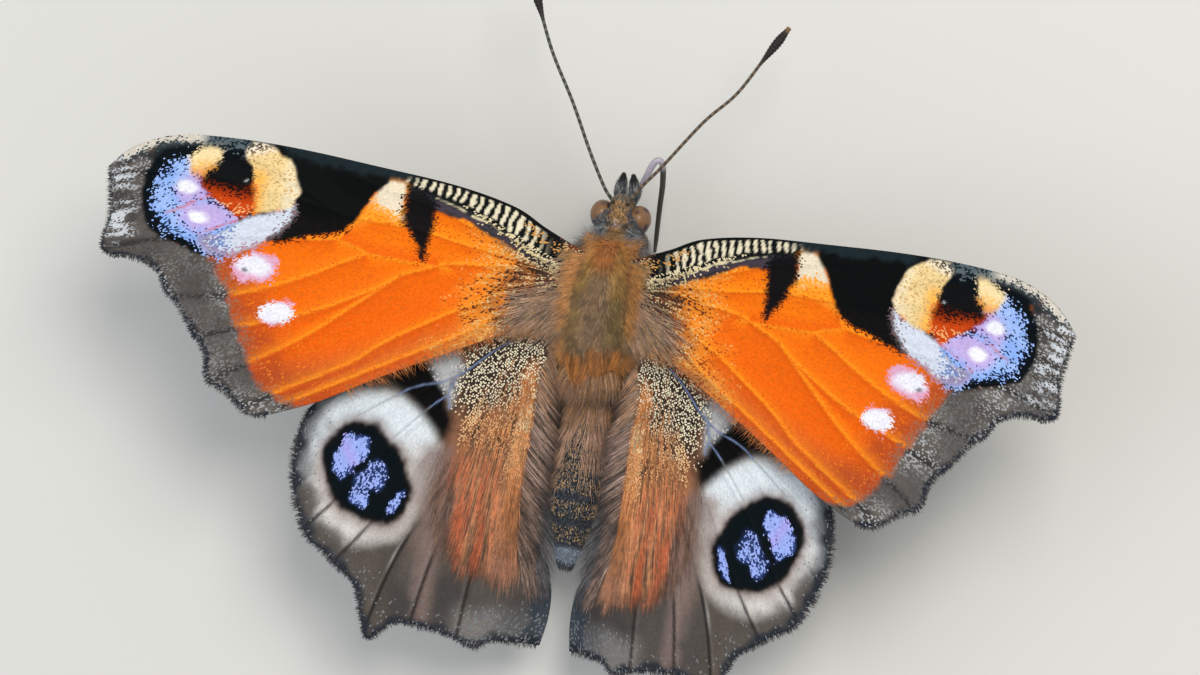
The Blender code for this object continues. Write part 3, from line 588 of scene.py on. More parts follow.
ZEBRA_FOOT = [(11.8, -0.55), (10.7, -0.7), (9.1, -0.95), (8.4, -1.1), (7.2, -1.4), (6.4, -1.65), (5.3, -2.05),
              (4.3, -2.5), (3.3, -2.9), (2.7, -3.2), (1.8, -3.6), (0.3, -4.3)]
ZEBRA_STEP = 0.53              # pale bars of the front edge, one to the next
CREAM_LINE = [(8.9, -1.3), (7.4, -1.7), (6.6, -2.03), (5.3, -2.4), (4.2, -3.0), (2.95, -3.6), (1.6, -4.1),
              (1.0, -4.4)]
SPOT_OUTER = [(20.5, -8.2), (20.5, -7.5), (19.8, -6.8), (18.9, -6.5), (18.2, -6.6), (18.1, -7.1), (18.5, -7.9),
              (19.3, -8.2), (20.0, -8.3)]
SPOT_INNER = [(18.3, -10.0), (18.0, -9.6), (17.2, -9.35), (16.95, -9.6), (17.1, -10.2), (17.6, -10.6),
              (18.1, -10.5)]
FORE_TURN = np.radians(-24.0)  # lie of the scale rows, from the wing's own length

for side, word in ((-1, "left"), (1, "right")):
    spots = patch(FORE_FRONT, FORE_REAR[::-1], FORE_ROOT, FORE_OUTER[::-1], GRID)
    make_wing("forewing_" + word, side, spots, fore_sheet, FORE_VEINS, FORE_TURN, (fore_colours, 10 + side),
              plate_scales)

# Hindwings
# Broader and rounder than the forewings and hinged just below them. The inner part falls away beside the
# abdomen as a hairy trough, and the rest carries one large eyespot in a pale ring.
HIND_RISE = np.radians(12.0)
HIND_DROP = 1.05               # the hindwing's hinge below the forewing's
HIND_SPAN = 15.5
FOLD_DROP = (1.0, 1.75)        # fall of the inner fold, beside and behind the abdomen
FOLD_WIDTH = (0.9, 2.8)
FOLD_RANGE = (-14.0, -25.0)    # y where the fold starts to widen and where it is widest
FOLD_START = (-9.0, -12.0)     # y where the inner edge starts to fall and has fallen
HIND_FRONT = [(-0.9, -8.2), (1.2, -6.9), (3.2, -6.7), (6.0, -7.9), (9.6, -10.4), (13.0, -13.4), (15.0, -15.7)]
HIND_OUTER = [(15.0, -15.7), (15.4, -17.2), (15.5, -19.0), (15.3, -20.5), (14.7, -22.2), (13.9, -23.7),
              (12.7, -24.5), (11.7, -25.3), (10.5, -26.2), (9.9, -27.6), (9.2, -29.45), (8.5, -29.1),
              (7.8, -28.35), (6.5, -28.15), (4.7, -28.35), (3.1, -28.8), (2.2, -28.95), (1.5, -28.45),
              (0.2, -28.45), (-1.23, -28.5)]
INNER_MARGIN = [(1.0, -28.5), (0.75, -26.9), (0.75, -25.3), (1.05, -24.0), (1.55, -22.6), (1.85, -21.0),
                (1.95, -18.0), (2.0, -14.0), (2.3, -11.2), (1.9, -9.3)]
HIND_INNER = [((out - ROOT_OUT) / np.cos(HIND_RISE), y) for out, y in INNER_MARGIN[::-1]]
HIND_ROOT = [HIND_INNER[0], (-0.7, -8.8), HIND_FRONT[0]]
HIND_VEINS = [
    [(0.6, -8.8), (3.0, -8.0), (8.0, -10.2), (12.5, -13.9), (14.8, -16.4)],
    [(0.9, -9.0), (3.4, -9.8), (5.0, -11.3), (6.9, -12.6), (9.5, -13.9), (12.2, -15.4), (15.3, -18.0)],
    [(6.9, -12.6), (10.4, -15.6), (13.2, -18.4), (15.2, -20.8)],
    [(5.9, -12.1), (6.3, -12.9), (6.4, -13.6), (9.6, -17.3), (12.0, -20.6), (14.2, -23.2)],
    [(6.4, -13.6), (6.1, -15.2), (8.3, -19.4), (10.4, -22.8), (12.0, -25.0)],
    [(6.1, -15.2), (4.9, -16.4), (6.6, -20.6), (8.2, -24.4), (9.4, -28.9)],
    [(0.8, -9.4), (3.0, -12.4), (4.9, -16.4), (5.4, -21.2), (6.1, -25.0), (6.6, -28.0)],
    [(3.0, -12.4), (3.0, -17.0), (3.2, -22.5), (3.6, -28.5)],
]
HIND_PUPIL = [(13.4, -17.6), (12.4, -16.4), (11.4, -16.1), (10.5, -16.2), (9.8, -16.9), (8.9, -17.7),
              (8.3, -18.8), (7.9, -19.8), (8.1, -21.1), (8.7, -21.9), (9.4, -22.1), (10.5, -22.0),
              (11.5, -21.8), (12.4, -21.1), (13.0, -20.3), (13.4, -19.2), (13.6, -18.3)]
BLUE_PATCHES = [
    ([(13.1, -18.9), (12.8, -17.8), (12.3, -16.9), (11.8, -17.0), (11.0, -17.0), (10.9, -18.1), (11.4, -18.7),
      (11.8, -19.3), (12.2, -19.9), (12.8, -19.5)], 0.97, 0.3),
    ([(11.6, -20.6), (11.4, -19.7), (10.9, -19.1), (10.2, -18.4), (9.7, -18.5), (9.5, -19.3), (9.7, -20.2),
      (10.4, -20.4), (10.7, -21.2), (11.2, -21.0)], 0.5, 0.5),
    ([(11.5, -20.9), (11.0, -20.5), (10.5, -20.8), (10.6, -21.3), (11.1, -21.3)], 0.95, 0.35),
    ([(10.3, -19.6), (9.9, -19.3), (9.6, -19.8), (10.0, -20.1)], 0.85, 0.3),
    ([(9.25, -21.7), (9.0, -20.9), (8.6, -20.1), (8.15, -19.7), (8.2, -20.4), (8.6, -21.2), (8.95, -21.75)],
     0.95, 0.2),
]
HALO = [(14.9, -18.5), (14.5, -16.5), (13.6, -15.3), (12.2, -14.4), (10.9, -14.1), (9.3, -14.2), (8.0, -14.9),
        (7.1, -15.8), (6.6, -16.9), (6.5, -18.5), (6.8, -19.8), (7.3, -21.1), (8.1, -22.6), (9.5, -23.4),
        (11.4, -23.6), (13.0, -22.8), (14.0, -21.3), (14.7, -19.9)]
BLACK_CLOUD = [(12.6, -13.2), (11.0, -11.6), (9.0, -10.2), (7.9, -10.6), (7.8, -11.7), (7.3, -12.4), (6.7, -13.1),
               (6.4, -13.7), (6.2, -14.4), (5.8, -14.9), (5.9, -15.5), (6.3, -16.3), (6.9, -15.8), (7.7, -15.0),
               (8.5, -14.3), (9.3, -13.7), (10.1, -13.3), (11.2, -13.3)]
GREY_CLOUD = [(7.9, -11.6), (7.6, -10.6), (6.6, -10.6), (5.9, -11.2), (5.5, -11.8), (5.9, -12.6), (6.0, -13.6),
              (6.2, -14.2), (6.4, -13.7), (6.8, -13.0), (7.4, -12.3)]
BLUE_VEINS = [[(9.5, -13.95), (8.9, -13.5), (8.05, -13.1), (6.95, -12.75), (6.2, -12.3), (5.4, -11.7), (4.6, -10.85),
               (3.8, -10.1), (3.0, -9.5)],
              [(6.15, -12.4), (6.4, -13.3), (6.3, -13.8), (6.25, -14.3)],
              [(6.4, -13.5), (6.95, -13.95), (7.4, -14.4)]]
DOTTED = [(6.0, -12.0), (5.4, -10.6), (4.2, -8.8), (2.2, -8.4), (0.6, -9.2), (0.4, -11.2), (0.6, -13.2),
          (0.9, -15.4), (1.6, -17.2), (3.2, -17.4), (4.8, -16.0), (5.8, -14.0)]
RUST_FIELD = [(5.3, -18.0), (4.9, -19.6), (4.5, -21.4), (4.2, -22.2), (3.8, -22.8), (3.2, -23.2), (2.5, -23.5),
              (1.8, -23.7), (1.0, -23.7), (0.5, -23.7), (0.3, -23.4), (0.1, -22.8), (0.15, -20.9), (0.5, -19.1),
              (0.8, -17.3), (1.0, -15.5), (1.4, -13.2), (3.4, -13.4), (5.0, -14.6), (5.3, -16.2)]
FOLD_LINE = ([-26, -22, -17, -13, -10], [1.5, 1.5, 1.35, 1.2, 0.9])     # y, and the fold in from the margin
HIND_TURN = np.radians(-58.0)


def hind_sheet(side, spot):
    """Middle of a hindwing: a slope bowed up by half a sine wave, less the smooth fall of its inner part."""
    x, y = spot[..., 0], spot[..., 1]
    out = ROOT_OUT + x * np.cos(HIND_RISE)
    back = ease((y - FOLD_RANGE[0]) / (FOLD_RANGE[1] - FOLD_RANGE[0]))
    width = FOLD_WIDTH[0] + (FOLD_WIDTH[1] - FOLD_WIDTH[0]) * back
    drop = FOLD_DROP[0] + (FOLD_DROP[1] - FOLD_DROP[0]) * back
    inner = np.interp(y, [p[1] for p in INNER_MARGIN], [p[0] for p in INNER_MARGIN])
    start = ease((y - FOLD_START[0]) / (FOLD_START[1] - FOLD_START[0]))
    fall = drop * ease((inner + width - out) / width) * start
    bow = CAMBER * np.sin(np.pi * np.clip(x / HIND_SPAN, 0, 1))
    return np.stack([side * out, y, ROOT_HEIGHT - HIND_DROP + x * np.sin(HIND_RISE) + bow - fall], -1)


def hind_colours(spot, seed):
    """Markings of a hindwing's upper face, from the brown field up to the single blue scales of the eyespot."""
    paint = Painter(spot, seed, HIND_VEINS)
    tint, mark, fleck, cover_with, area = paint.tint, paint.mark, paint.fleck, paint.cover_with, paint.area
    cloud, blotch, grain, fray, vein = paint.cloud, paint.blotch, paint.grain, paint.fray, paint.vein
    x, y = spot.T
    lean = x - hair_lean(x, y) * (-8.0 - y)
    streak = noise(np.stack([lean * 3.6, y / 3.2], 1), seed + 3)
    fine = noise(np.stack([lean * 9.0, y / 1.6], 1), seed + 4)
    margin = np.abs(off_line(spot, HIND_OUTER, 12.0)[0])
    inner = off_line(spot, HIND_INNER, 6.0)[0]

    # Field: grey brown toward the margin, warm brown toward the base, and the rust part in streaks
    tint("585049", np.ones(len(x)))
    tint("9A877C", 0.15 * edge(1.6 - np.abs(x - 6.8), 2.2) * ease((-19.0 - y) / 3.0) * ease((margin - 1) / 4))
    tint("8E6248", 0.9 * ease((y + 21.0) / 5.0) * ease((7.0 - x) / 1.4))
    tint("B9764A", 0.95 * area(RUST_FIELD, 1.2, 2.5) * ease(0.55 + streak))
    tint("C05E34", 0.6 * area(RUST_FIELD, 0.8, 3.0) * ease(0.5 - 1.4 * streak + 0.5 * fine) * ease((-16.0 - y) / 3.0))
    tint("5A4030", 0.6 * area(RUST_FIELD, 1.2, 3.0) * ease(0.05 - 1.6 * fine))
    tint("B86A4A", 0.5 * area(RED_STREAK, 0.8, 2.0) * ease(0.5 + fine))
    border = edge(-depth_in(spot, RUST_FIELD, 6.0) - 0.2 + 0.5 * blotch, 1.2) * ease((-21.5 - y) / 2.5)
    tint("444140", 0.9 * border * ease((9.8 - x) / 2.5) * ease((5.2 - margin + 0.6 * blotch) / 2.5))
    tint("7C736C", 0.2 * border * ease(0.3 + cloud) * ease((9.5 - x) / 2.0))
    tint("908C88", 0.55 * ease((2.8 - margin) / 1.8) * ease((4.6 - x) / 1.4) * ease((-22.0 - y) / 1.5))

    # Pale ring round the eye, bluish at the front and inside, brownish behind and dark toward the margin
    halo = area(HALO, 1.3, 0.8)
    tint("D2CFCC", halo)
    tint("DDE7EE", halo * ease((y + 18.6 + 0.25 * (x - 8)) / 3.0))
    tint("CCC2BA", 0.45 * halo * ease((9.9 - x) / 2.0) * ease((-19.4 - y) / 2.0))
    tint("B4AAA4", 0.25 * halo * ease(0.4 + blotch) * ease((-21.0 - y) / 1.5))
    tint("A9A8A8", 0.2 * halo * ease(0.3 + 1.5 * noise(spot / (0.5, 1.5), seed + 7)) * ease((x - 12.5) / 1.5))
    inside = ease((8.3 - x + 0.1 * (y + 16) + 0.3 * blotch) / 1.3)
    tint("84706A", 0.8 * inside * ease((-16.2 - y) / 1.2) * ease(x - 5))
    outside = ease((x - 9.5) / 2.0)
    tint("7D8286", 0.9 * outside * ease((1.8 + 0.4 * blotch - margin) / 1.3) * ease((y + 22.0) / 3.0))
    tint("464A4E", 0.95 * outside * ease((1.15 + 0.3 * blotch - margin) / 1.0))
    smudge = ease((1.9 - margin + 0.4 * blotch) / 1.2) * ease((np.abs(vein) - 0.2) / 0.4)
    tint("5A544F", 0.85 * smudge * ease((-19.5 - y) / 1.5) * ease((x - 7.6) / 1.5))
    behind = ease((-20.4 - y) / 1.0) * ease((x - 7.6) / 1.0)
    tint("EEECE8", 0.45 * edge(0.09 - np.abs(vein - 0.09), 0.16) * behind * ease((margin - 2.0) / 1.4))
    tint("948C86", 0.15 * edge(0.1 - np.abs(vein - 0.16), 0.2) * ease((-21.5 - y) / 1.5) * ease((margin - 0.3) / 0.6))
    tint("282524", 0.9 * edge(0.1 - np.abs(vein + 0.05), 0.14) * ease((6.0 - margin) / 2.0)
         * ease((-19.5 - y) / 1.5))

    # Black and grey clouds at the front, crossed by pale blue veins
    tint("080809", area(BLACK_CLOUD, 0.9))
    tint("B2B5B9", area(GREY_CLOUD, 0.8))
    mark("E2E4E4", 0.35 * area(GREY_CLOUD, 0.8))
    mark("6A6A6C", 0.25 * area(GREY_CLOUD, 0.8))

    # Base: rows of cream scales on black, then tan ones that thin out into the rust
    dotted = area(DOTTED, 1.8, 3.0)
    near = ease((y + 14.8 + 0.3 * x + 0.8 * blotch) / 3.2)
    tint("2A2624", 0.95 * dotted * near)
    tint("8E5C3E", 0.8 * dotted * (1 - near) * ease(0.6 + fine))
    tint("3E2E28", 0.85 * dotted * ease(0.1 - 1.5 * fine))
    fleck("EFE6C8", 0.66 * dotted * near)
    fleck("E9B078", 0.7 * dotted * (1 - near))
    rows = dot_rows(x, y) * ease((5.6 - x) / 0.8) * ease((inner - 1.2) / 0.5)
    tint("5A4034", 0.6 * rows)
    fleck("EDBE88", 0.75 * rows)
    for line in BLUE_VEINS:
        away = np.abs(off_line(spot, line)[0])
        tint("7487B0", edge(0.04 + 0.02 * grain - away, 0.08))
        flecks_off = 1 - edge(0.1 - away, 0.05)
        paint.flecks[:, 3] *= flecks_off
        paint.marks[:, 3] *= flecks_off
    for line in THIN_VEINS:
        tint("7E8488", 0.6 * edge(0.05 - np.abs(off_line(spot, line)[0]), 0.12))

    # Inner margin: slate blue, and beside it a smooth tan fold that turns pinkish toward the rear
    fold = np.interp(y, *FOLD_LINE)
    tint("38424C", 0.95 * ease((fold - 0.15 + 0.3 * blotch - inner) / 0.5) * ease((-11.0 - y) / 2.5))
    band = edge(0.42 - np.abs(inner - fold - 0.45), 0.5)
    tint("D08546", 0.9 * band * ease((-10.0 - y) / 2.0) * ease((y + 23.5) / 5.0))
    tint("A37A66", 0.6 * band * ease((-17.0 - y) / 4.0) * ease((y + 25.0) / 2.0))
    corner = ease((4.4 - x) / 2.0) * ease((3.0 - margin) / 2.0) * ease((-25.0 - y) / 1.0)
    tint("4A5058", 0.45 * corner * ease((2.6 - x) / 2.5))
    mark("7A7F83", 0.16 * corner)

    # Eyespot: blue-black pupil with a soft brown edge and patches of blue-lilac scales
    pupil = depth_in(spot, HIND_PUPIL)
    tint("84706A", 0.75 * edge(pupil + 0.5 + fray, 1.2))
    tint("1C1412", edge(pupil + 0.14 + fray, 0.45))
    cover_with("050F14", edge(pupil - 0.05 + fray, 0.4))
    for outline, cover, soft in BLUE_PATCHES:
        core = area(outline, soft, 1.8)
        worm = noise(spot / 0.22, seed + 8)
        tint("4A62B0", 0.6 * cover * core)
        mark("9DB2F6", cover * core * ease(0.75 + 0.9 * worm + 0.8 * depth_in(spot, outline)))
    mark("B4A6F0", 0.7 * area(BLUE_PATCHES[0][0], 0.6) * ease(0.9 - 1.2 * np.abs(x - 12.1 - 0.6 * (y + 18))))

    # Margin: blue-black fringe scales, a few pale plates
    tint("2A2F37", ease((0.6 + 0.25 * blotch - margin) / 0.45))
    mark("7A7F83", 0.04 * ease((2.0 - margin) / 1.0))
    return paint.layers()


def dot_rows(x, y):
    """Strings of pale round scales that show between the hairs, thinning out toward the rear."""
    lean = x - 0.085 * (x - 0.9) * (-13.0 - y)
    string = noise(np.stack([lean * 3.0, y * 0.12], 1), 165)
    return ease(0.15 + 2.2 * string) * ease((-12.6 - y) / 1.0) * ease((y + 20.0) / 4.0)


def hair_lean(x, y):
    """Slope of the hairs outwards from straight back: they fan out from the hinge and swing in behind it."""
    return np.radians(5.0) * (x - 1.6 - 1.3 * ease((-14.0 - y) / 6.0))


RED_STREAK = [(6.2, -17.6), (5.9, -19.5), (5.6, -21.4), (5.3, -22.6), (5.1, -21.6), (5.2, -19.5), (5.4, -17.6)]
THIN_VEINS = [[(9.5, -13.95), (10.4, -14.6), (11.2, -15.2), (12.1, -15.9)], [(7.4, -14.4), (8.3, -15.4), (9.4, -16.7)]]

for side, word in ((-1, "left"), (1, "right")):
    spots = patch(HIND_FRONT, HIND_INNER, HIND_ROOT, HIND_OUTER[::-1], (191, 211))
    make_wing("hindwing_" + word, side, spots, hind_sheet, HIND_VEINS, HIND_TURN, (hind_colours, 30 + side),
              bead_scales)
# Body skin
# The casing of head, thorax and abdomen under the coat: three rounded shells of dark chitin joined by a narrow
# neck and a waist. It lies inside the solids by the coat's depth, and the coat hides all but glimpses of it.
WAIST = -11.2                  # where the thorax's fur hands over to the abdomen's
NECK = -2.0
ABDOMEN_FRONT = -10.4
BODY_Y = (0.42, -23.3)         # front and back of the skin
COAT_DEPTH = [(-23.4, 0.12), (-18.0, 0.14), (-13.5, 0.18), (-11.0, 0.3), (-9.0, 0.38), (-3.2, 0.38),
              (-2.0, 0.3), (-1.0, 0.16), (0.5, 0.12)]
AXIS = [(-23.4, 5.4), (-10.4, 5.75), (-8.0, 6.1), (-4.0, 6.15), (-2.0, 5.8), (0.5, 5.65)]
SKIN_GRID = (300, 96)          # along the body and around it


def table(y, pairs):
    """Value at y from a list of (y, value) pairs, straight between them."""
    return np.interp(y, [p[0] for p in pairs], [p[1] for p in pairs])


def body_half(y):
    """Half width, height over the axis and depth below it of the skin at y. Each casing is a rounded bullet,
    (1 - |2 s - 1| to a power) to a power, and the three are joined by their sixth-power sum."""
    s = np.clip((-1.95 - y) / 9.65, 0, 1)
    thorax = (1 - np.abs(2 * s - 1) ** 2.5) ** (1 / 2.3)
    s = np.clip((0.5 - y) / 2.7, 0, 1)
    head = (1 - np.abs(2 * s - 1) ** 2.2) ** (1 / 2.2)
    s = np.clip((ABDOMEN_FRONT - y) / 13.0, 0, 1)
    abdomen = (1 - np.abs(2 * s - 1) ** 3.4) ** (1 / 2.4)
    abdomen *= 1 - 0.34 * ease((s - 0.55) / 0.42) - 0.12 * ease((0.5 - s) / 0.5)
    abdomen *= 1 - 0.05 * (0.5 + 0.5 * np.cos(2 * np.pi * 8 * s)) ** 3
    depth = table(y, COAT_DEPTH)
    axis = table(y, AXIS)
    total = []
    for part, wide, up, down, middle in ((thorax, 2.8, 2.85, 2.75, 6.2), (head, 1.12, 1.2, 1.15, 5.7),
                                         (abdomen, 1.78, 1.75, 1.7, table(y, AXIS))):
        there = part > 0.02
        shift = middle - axis
        total.append(np.stack([np.where(there, (size - depth) * part + lean * shift, 0)
                               for size, lean in ((wide, 0), (up, 1), (down, -1))]))
    return (np.clip(total, 0.01, None) ** 6).sum(0) ** (1 / 6)


def skin(turn, y):
    """Point of the skin at an angle from the top toward the animal's right: an ellipse in each slice across y."""
    turn, y = np.broadcast_arrays(turn, y)
    wide, up, down = body_half(y)
    height = np.where(np.cos(turn) > 0, up, down)
    return np.stack([wide * np.sin(turn), y, table(y, AXIS) + height * np.cos(turn)], -1)


def shell(rings, front, back):
    """Closed shell from rings of points (rows, around) and a point at each end, with its faces and a map that
    runs around in u and along in v."""
    n, m = rings.shape[:2]
    points = np.vstack([rings.reshape(-1, 3), [front, back]])
    a = np.arange(n * m).reshape(n, m)
    b = np.roll(a, -1, axis=1)
    quads = np.stack([a[:-1], a[1:], b[1:], b[:-1]], -1).reshape(-1, 4)
    caps = np.vstack([np.stack([np.full(m, n * m), a[0], b[0]], 1),
                      np.stack([np.full(m, n * m + 1), b[-1], a[-1]], 1)])
    u = np.linspace(0, 1, m + 1)
    v = np.linspace(0, 1, n + 2)[1:-1]
    left, right = np.tile(u[:-1], (n - 1, 1)), np.tile(u[1:], (n - 1, 1))
    up, down = np.tile(v[:-1, None], (1, m)), np.tile(v[1:, None], (1, m))
    quad_map = np.stack([np.stack([left, up], -1), np.stack([left, down], -1),
                         np.stack([right, down], -1), np.stack([right, up], -1)], 2).reshape(-1, 2)
    middle = (u[:-1] + u[1:]) / 2
    cap_map = np.vstack([
        np.stack([middle, u[:-1], u[1:], np.zeros(m), np.full(m, v[0]), np.full(m, v[0])], 1),
        np.stack([middle, u[1:], u[:-1], np.ones(m), np.full(m, v[-1]), np.full(m, v[-1])], 1)])
    cap_map = np.stack([cap_map[:, :3], cap_map[:, 3:]], -1).reshape(-1, 2)
    return points, [quads, caps], np.vstack([quad_map, cap_map])


def coat_colours(place):
    """Colour of the coat at each place on the body: (N, 3) in linear light."""
    x, y, z = place.T
    flat = place[:, :2]
    count = len(place)
    layer = np.ones((count, 4))
    cloud = noise(place / 0.9, 71)
    grain = noise(place / 0.3, 72)
    layer[:, :3] = linear("A08250")
    low = ease((6.6 - z) / 1.4)

    # Thorax: greyish olive middle, ginger collar and side bands, grey brown flanks, with painted light on the left
    # side and painted shade on the right
    lay(layer, "A08264", 0.8 * edge(0.9 - np.abs(x + 0.15), 0.9) * edge(2.6 - np.abs(y + 6.9), 1.4))
    # painted shade: a darker olive strip on the right of the middle only
    lay(layer, "86703C", 0.5 * edge(0.4 - np.abs(x - 1.2), 0.6) * edge(2.2 - np.abs(y + 6.0), 1.2))
    ginger = edge(1.0 - np.abs(y + 2.9) + 0.3 * cloud, 1.2)
    lay(layer, "C67A38", 0.8 * ginger * edge(1.5 - np.abs(x + 0.1) + 0.3 * cloud, 1.2))
    lay(layer, "BE964E", 0.8 * edge(0.5 - np.abs(np.abs(x + 0.1) - 1.2), 0.6) * edge(1.5 - np.abs(y + 4.0), 1.0))
    lay(layer, "8E7C66", 0.8 * edge(y + 2.1 + 0.2 * cloud, 0.35))
    # one ginger side band, painted lighter on the left as the lit side and darker on the right as the shaded side
    for side, code in ((-1, "F4B068"), (1, "C48848")):
        away = off_line(flat * (side, 1), SIDE_BAND, 3.0)[0]
        lay(layer, code, 0.9 * edge(0.5 - np.abs(away) + 0.2 * cloud, 0.8) * ease((z - 6.0) / 1.0))
    lay(layer, "B08E78", ease((np.abs(x) - 2.15 - 0.05 * (y + 9)) / 0.35) * ease((-3.0 - y) / 1.0) * 0.75)
    lay(layer, "6A7076", ease((np.abs(x) - 1.45) / 0.3) * ease((y + 3.4) / 0.8) * 0.9)
    lay(layer, "D29048", 0.85 * edge(depth_in(flat, REAR_TUFT) + 0.08 * cloud, 0.35))
    lay(layer, "CC8A44", 0.85 * edge(0.42 - np.abs(off_line(flat, REAR_ARC, 3.0)[0]) + 0.08 * cloud, 0.4))
    # painted shade in the two creases of the fur in front of the rear tufts
    for line in REAR_CREASE_SHADE:
        lay(layer, "382A16", 0.85 * edge(0.07 - np.abs(off_line(flat, line)[0]), 0.16))
    lay(layer, "382E1E", 0.8 * edge(0.16 - np.abs(off_line(flat, REAR_SHADE)[0]), 0.3))
    lay(layer, "4A3C34", 0.6 * edge(0.2 - np.hypot(x + 0.42, y + 6.98), 0.25))
    lay(layer, "4A3D33", low * edge(y - WAIST, 1.0) * 0.9)

    # Abdomen: blue-black scales, hidden at its base by pinkish brown hair
    behind = edge(WAIST - 0.2 - y, 0.6)
    lay(layer, "20262E", behind)
    lay(layer, "5E4C3E", behind * ease((y + 15.5 + 0.5 * cloud) / 3.0) * 0.8)
    lay(layer, "8492A2", behind * edge(-21.9 - y + 0.1 * grain, 0.7))
    lay(layer, "4E4A46", behind * low * 0.7)

    # Head: golden brown crown, grey-blue fur behind and inside the eyes, a pale spot on the neck, grey below
    before = edge(y - NECK, 0.4)
    lay(layer, "96703E", before)
    lay(layer, "4C545C", before * edge(np.abs(x) - 0.6 + 0.1 * grain, 0.3) * edge(-0.1 - y, 0.5))
    lay(layer, "96989A", 0.8 * before * edge(np.abs(x) - 0.5 + 0.1 * grain, 0.4) * edge(-1.15 - y, 0.4))
    lay(layer, "DCCCC6", before * edge(0.26 - np.hypot(x + 0.1, (y + 1.4) / 0.9), 0.3))
    lay(layer, "6C6A66", before * edge(y - 0.1, 0.3))
    lay(layer, "6B6660", before * edge(5.7 - z, 0.8))
    return layer[:, :3]


SIDE_BAND = [(1.45, -2.7), (1.95, -4.0), (2.2, -5.6), (2.35, -7.2), (2.45, -8.6), (2.3, -9.8)]
REAR_TUFT = [(-1.7, -9.5), (-1.1, -10.5), (-0.5, -11.6), (-0.2, -11.1), (0.4, -10.8), (0.3, -10.4), (-0.7, -9.9)]
REAR_ARC = [(-1.5, -9.8), (-0.8, -10.7), (0.1, -11.0), (1.1, -10.7), (1.8, -10.1), (2.1, -9.3)]
REAR_CREASE_SHADE = [[(-1.34, -8.55), (-0.94, -8.95), (-0.5, -9.43)], [(-0.22, -9.48), (0.41, -9.11), (0.94, -8.67)]]
REAR_SHADE = [(-0.2, -11.9), (0.3, -11.5), (1.0, -11.3), (1.8, -10.8), (2.4, -10.0)]


def body_material():
    """Chitin under fur: satin brown-black plates, seen only where hairs part."""
    material, tree = new_material("body chitin, satin")
    ground = add_node(tree, "Attribute", {"attribute_name": "ground"}, {})
    place = add_node(tree, "TexCoord", {}, {})
    pits = add_node(tree, "TexNoise", {}, {"Vector": place.outputs["Object"], "Scale": 14000.0, "Detail": 2.0})
    bump = add_node(tree, "Bump", {}, {"Height": pits.outputs[0], "Strength": 0.3, "Distance": 0.00005})
    shader = add_node(tree, "BsdfPrincipled", {}, {"Base Color": ground.outputs["Color"], "Roughness": 0.55,
                                                   "Specular IOR Level": 0.3, "Normal": bump.outputs[0]})
    add_node(tree, "OutputMaterial", {}, {"Surface": shader.outputs[0]})
    return material


def skin_spots(share):
    """Where each share of the body's length lies along y, closer together toward both ends."""
    even = 0.55 * share + 0.45 * (0.5 - 0.5 * np.cos(np.pi * share))
    return BODY_Y[0] + (BODY_Y[1] - BODY_Y[0]) * even


rows = skin_spots(np.linspace(0, 1, SKIN_GRID[0] + 2)[1:-1])
turns = np.linspace(0, 2 * np.pi, SKIN_GRID[1] + 1)[:-1]
rings = skin(turns[None, :], rows[:, None])
points, faces, spread = shell(rings, (0, BODY_Y[0], 5.65), (0, BODY_Y[1], 5.4))
ground = np.ones((len(points), 4))
ground[:, :3] = coat_colours(points) * 0.5
make_piece("body_skin", points, faces, body_material(), {"ground": ground}, {"OFBake": spread},
           ("thorax", "head", "abdomen"))

# Coat
# Hairs and narrow scales that stand in the skin, thickest on the thorax. They lie back toward the tail, stand up
# in a collar behind the head, and end in two pointed ginger tufts over the waist.
TUFT_PATCH = 0.003             # side of a tuft's own patch on the map


def strands(roots, flow, out, length, width, rise, bend, colours, where, steps=3, fat=0.7):
    """Closed three-sided tufts. The middle line leaves the root along flow, tilted off the skin by rise, and bends
    by bend: root + length (t flow + (rise t + bend t squared) out). Its half width falls as (1 - t) to the power
    fat, and a ridge half as high runs along its back. Colours run from the root's to the tip's."""
    count = len(roots)
    across = np.cross(flow, out)
    across /= np.linalg.norm(across, axis=1, keepdims=True)
    t = np.linspace(0, 1, steps)[None, :, None]
    line = roots[:, None] + length[:, None, None] * (
        t * flow[:, None] + (rise[:, None, None] * t + bend[:, None, None] * t ** 2) * out[:, None])
    half = width[:, None, None] * (1 - t[:, :-1]) ** fat
    body = line[:, :-1]
    points = np.stack([body - half * across[:, None], body + 0.9 * half * out[:, None],
                       body + half * across[:, None]], 2).reshape(count, -1, 3)
    points = np.concatenate([points, line[:, -1:]], 1)
    per = 3 * (steps - 1) + 1
    k = 3 * np.arange(steps - 2)[:, None]
    turn = np.array([(0, 1), (1, 2), (2, 0)])
    quads = np.concatenate([np.stack([k + a, k + b, k + 3 + b, k + 3 + a], -1).reshape(-1, 4) for a, b in turn])
    last = 3 * (steps - 2)
    tips = np.array([(last + a, last + b, per - 1) for a, b in turn] + [(0, 2, 1)])
    start = per * np.arange(count)[:, None, None]
    faces = [(quads + start).reshape(-1, 4), (tips + start).reshape(-1, 3)]
    reach = np.append(np.repeat(np.linspace(0, 1, steps)[:-1], 3), 1.0)
    root_colour, tip_colour = colours
    shade = root_colour[:, None] * (1 - reach[:, None]) + tip_colour[:, None] * reach[:, None]
    ground = np.ones((count * per, 4))
    ground[:, :3] = shade.reshape(-1, 3)
    sides = np.append(np.tile([0.0, 0.5, 1.0], steps - 1), 0.5)
    spread = where[:, None] + TUFT_PATCH * (np.stack([sides, 0.1 * (sides == 0.5) + 0.9 * reach], 1) - 0.5)
    spread = spread.reshape(-1, 2)
    corners = np.concatenate([f.ravel() for f in faces])
    return points.reshape(-1, 3), faces, ground, spread[corners]


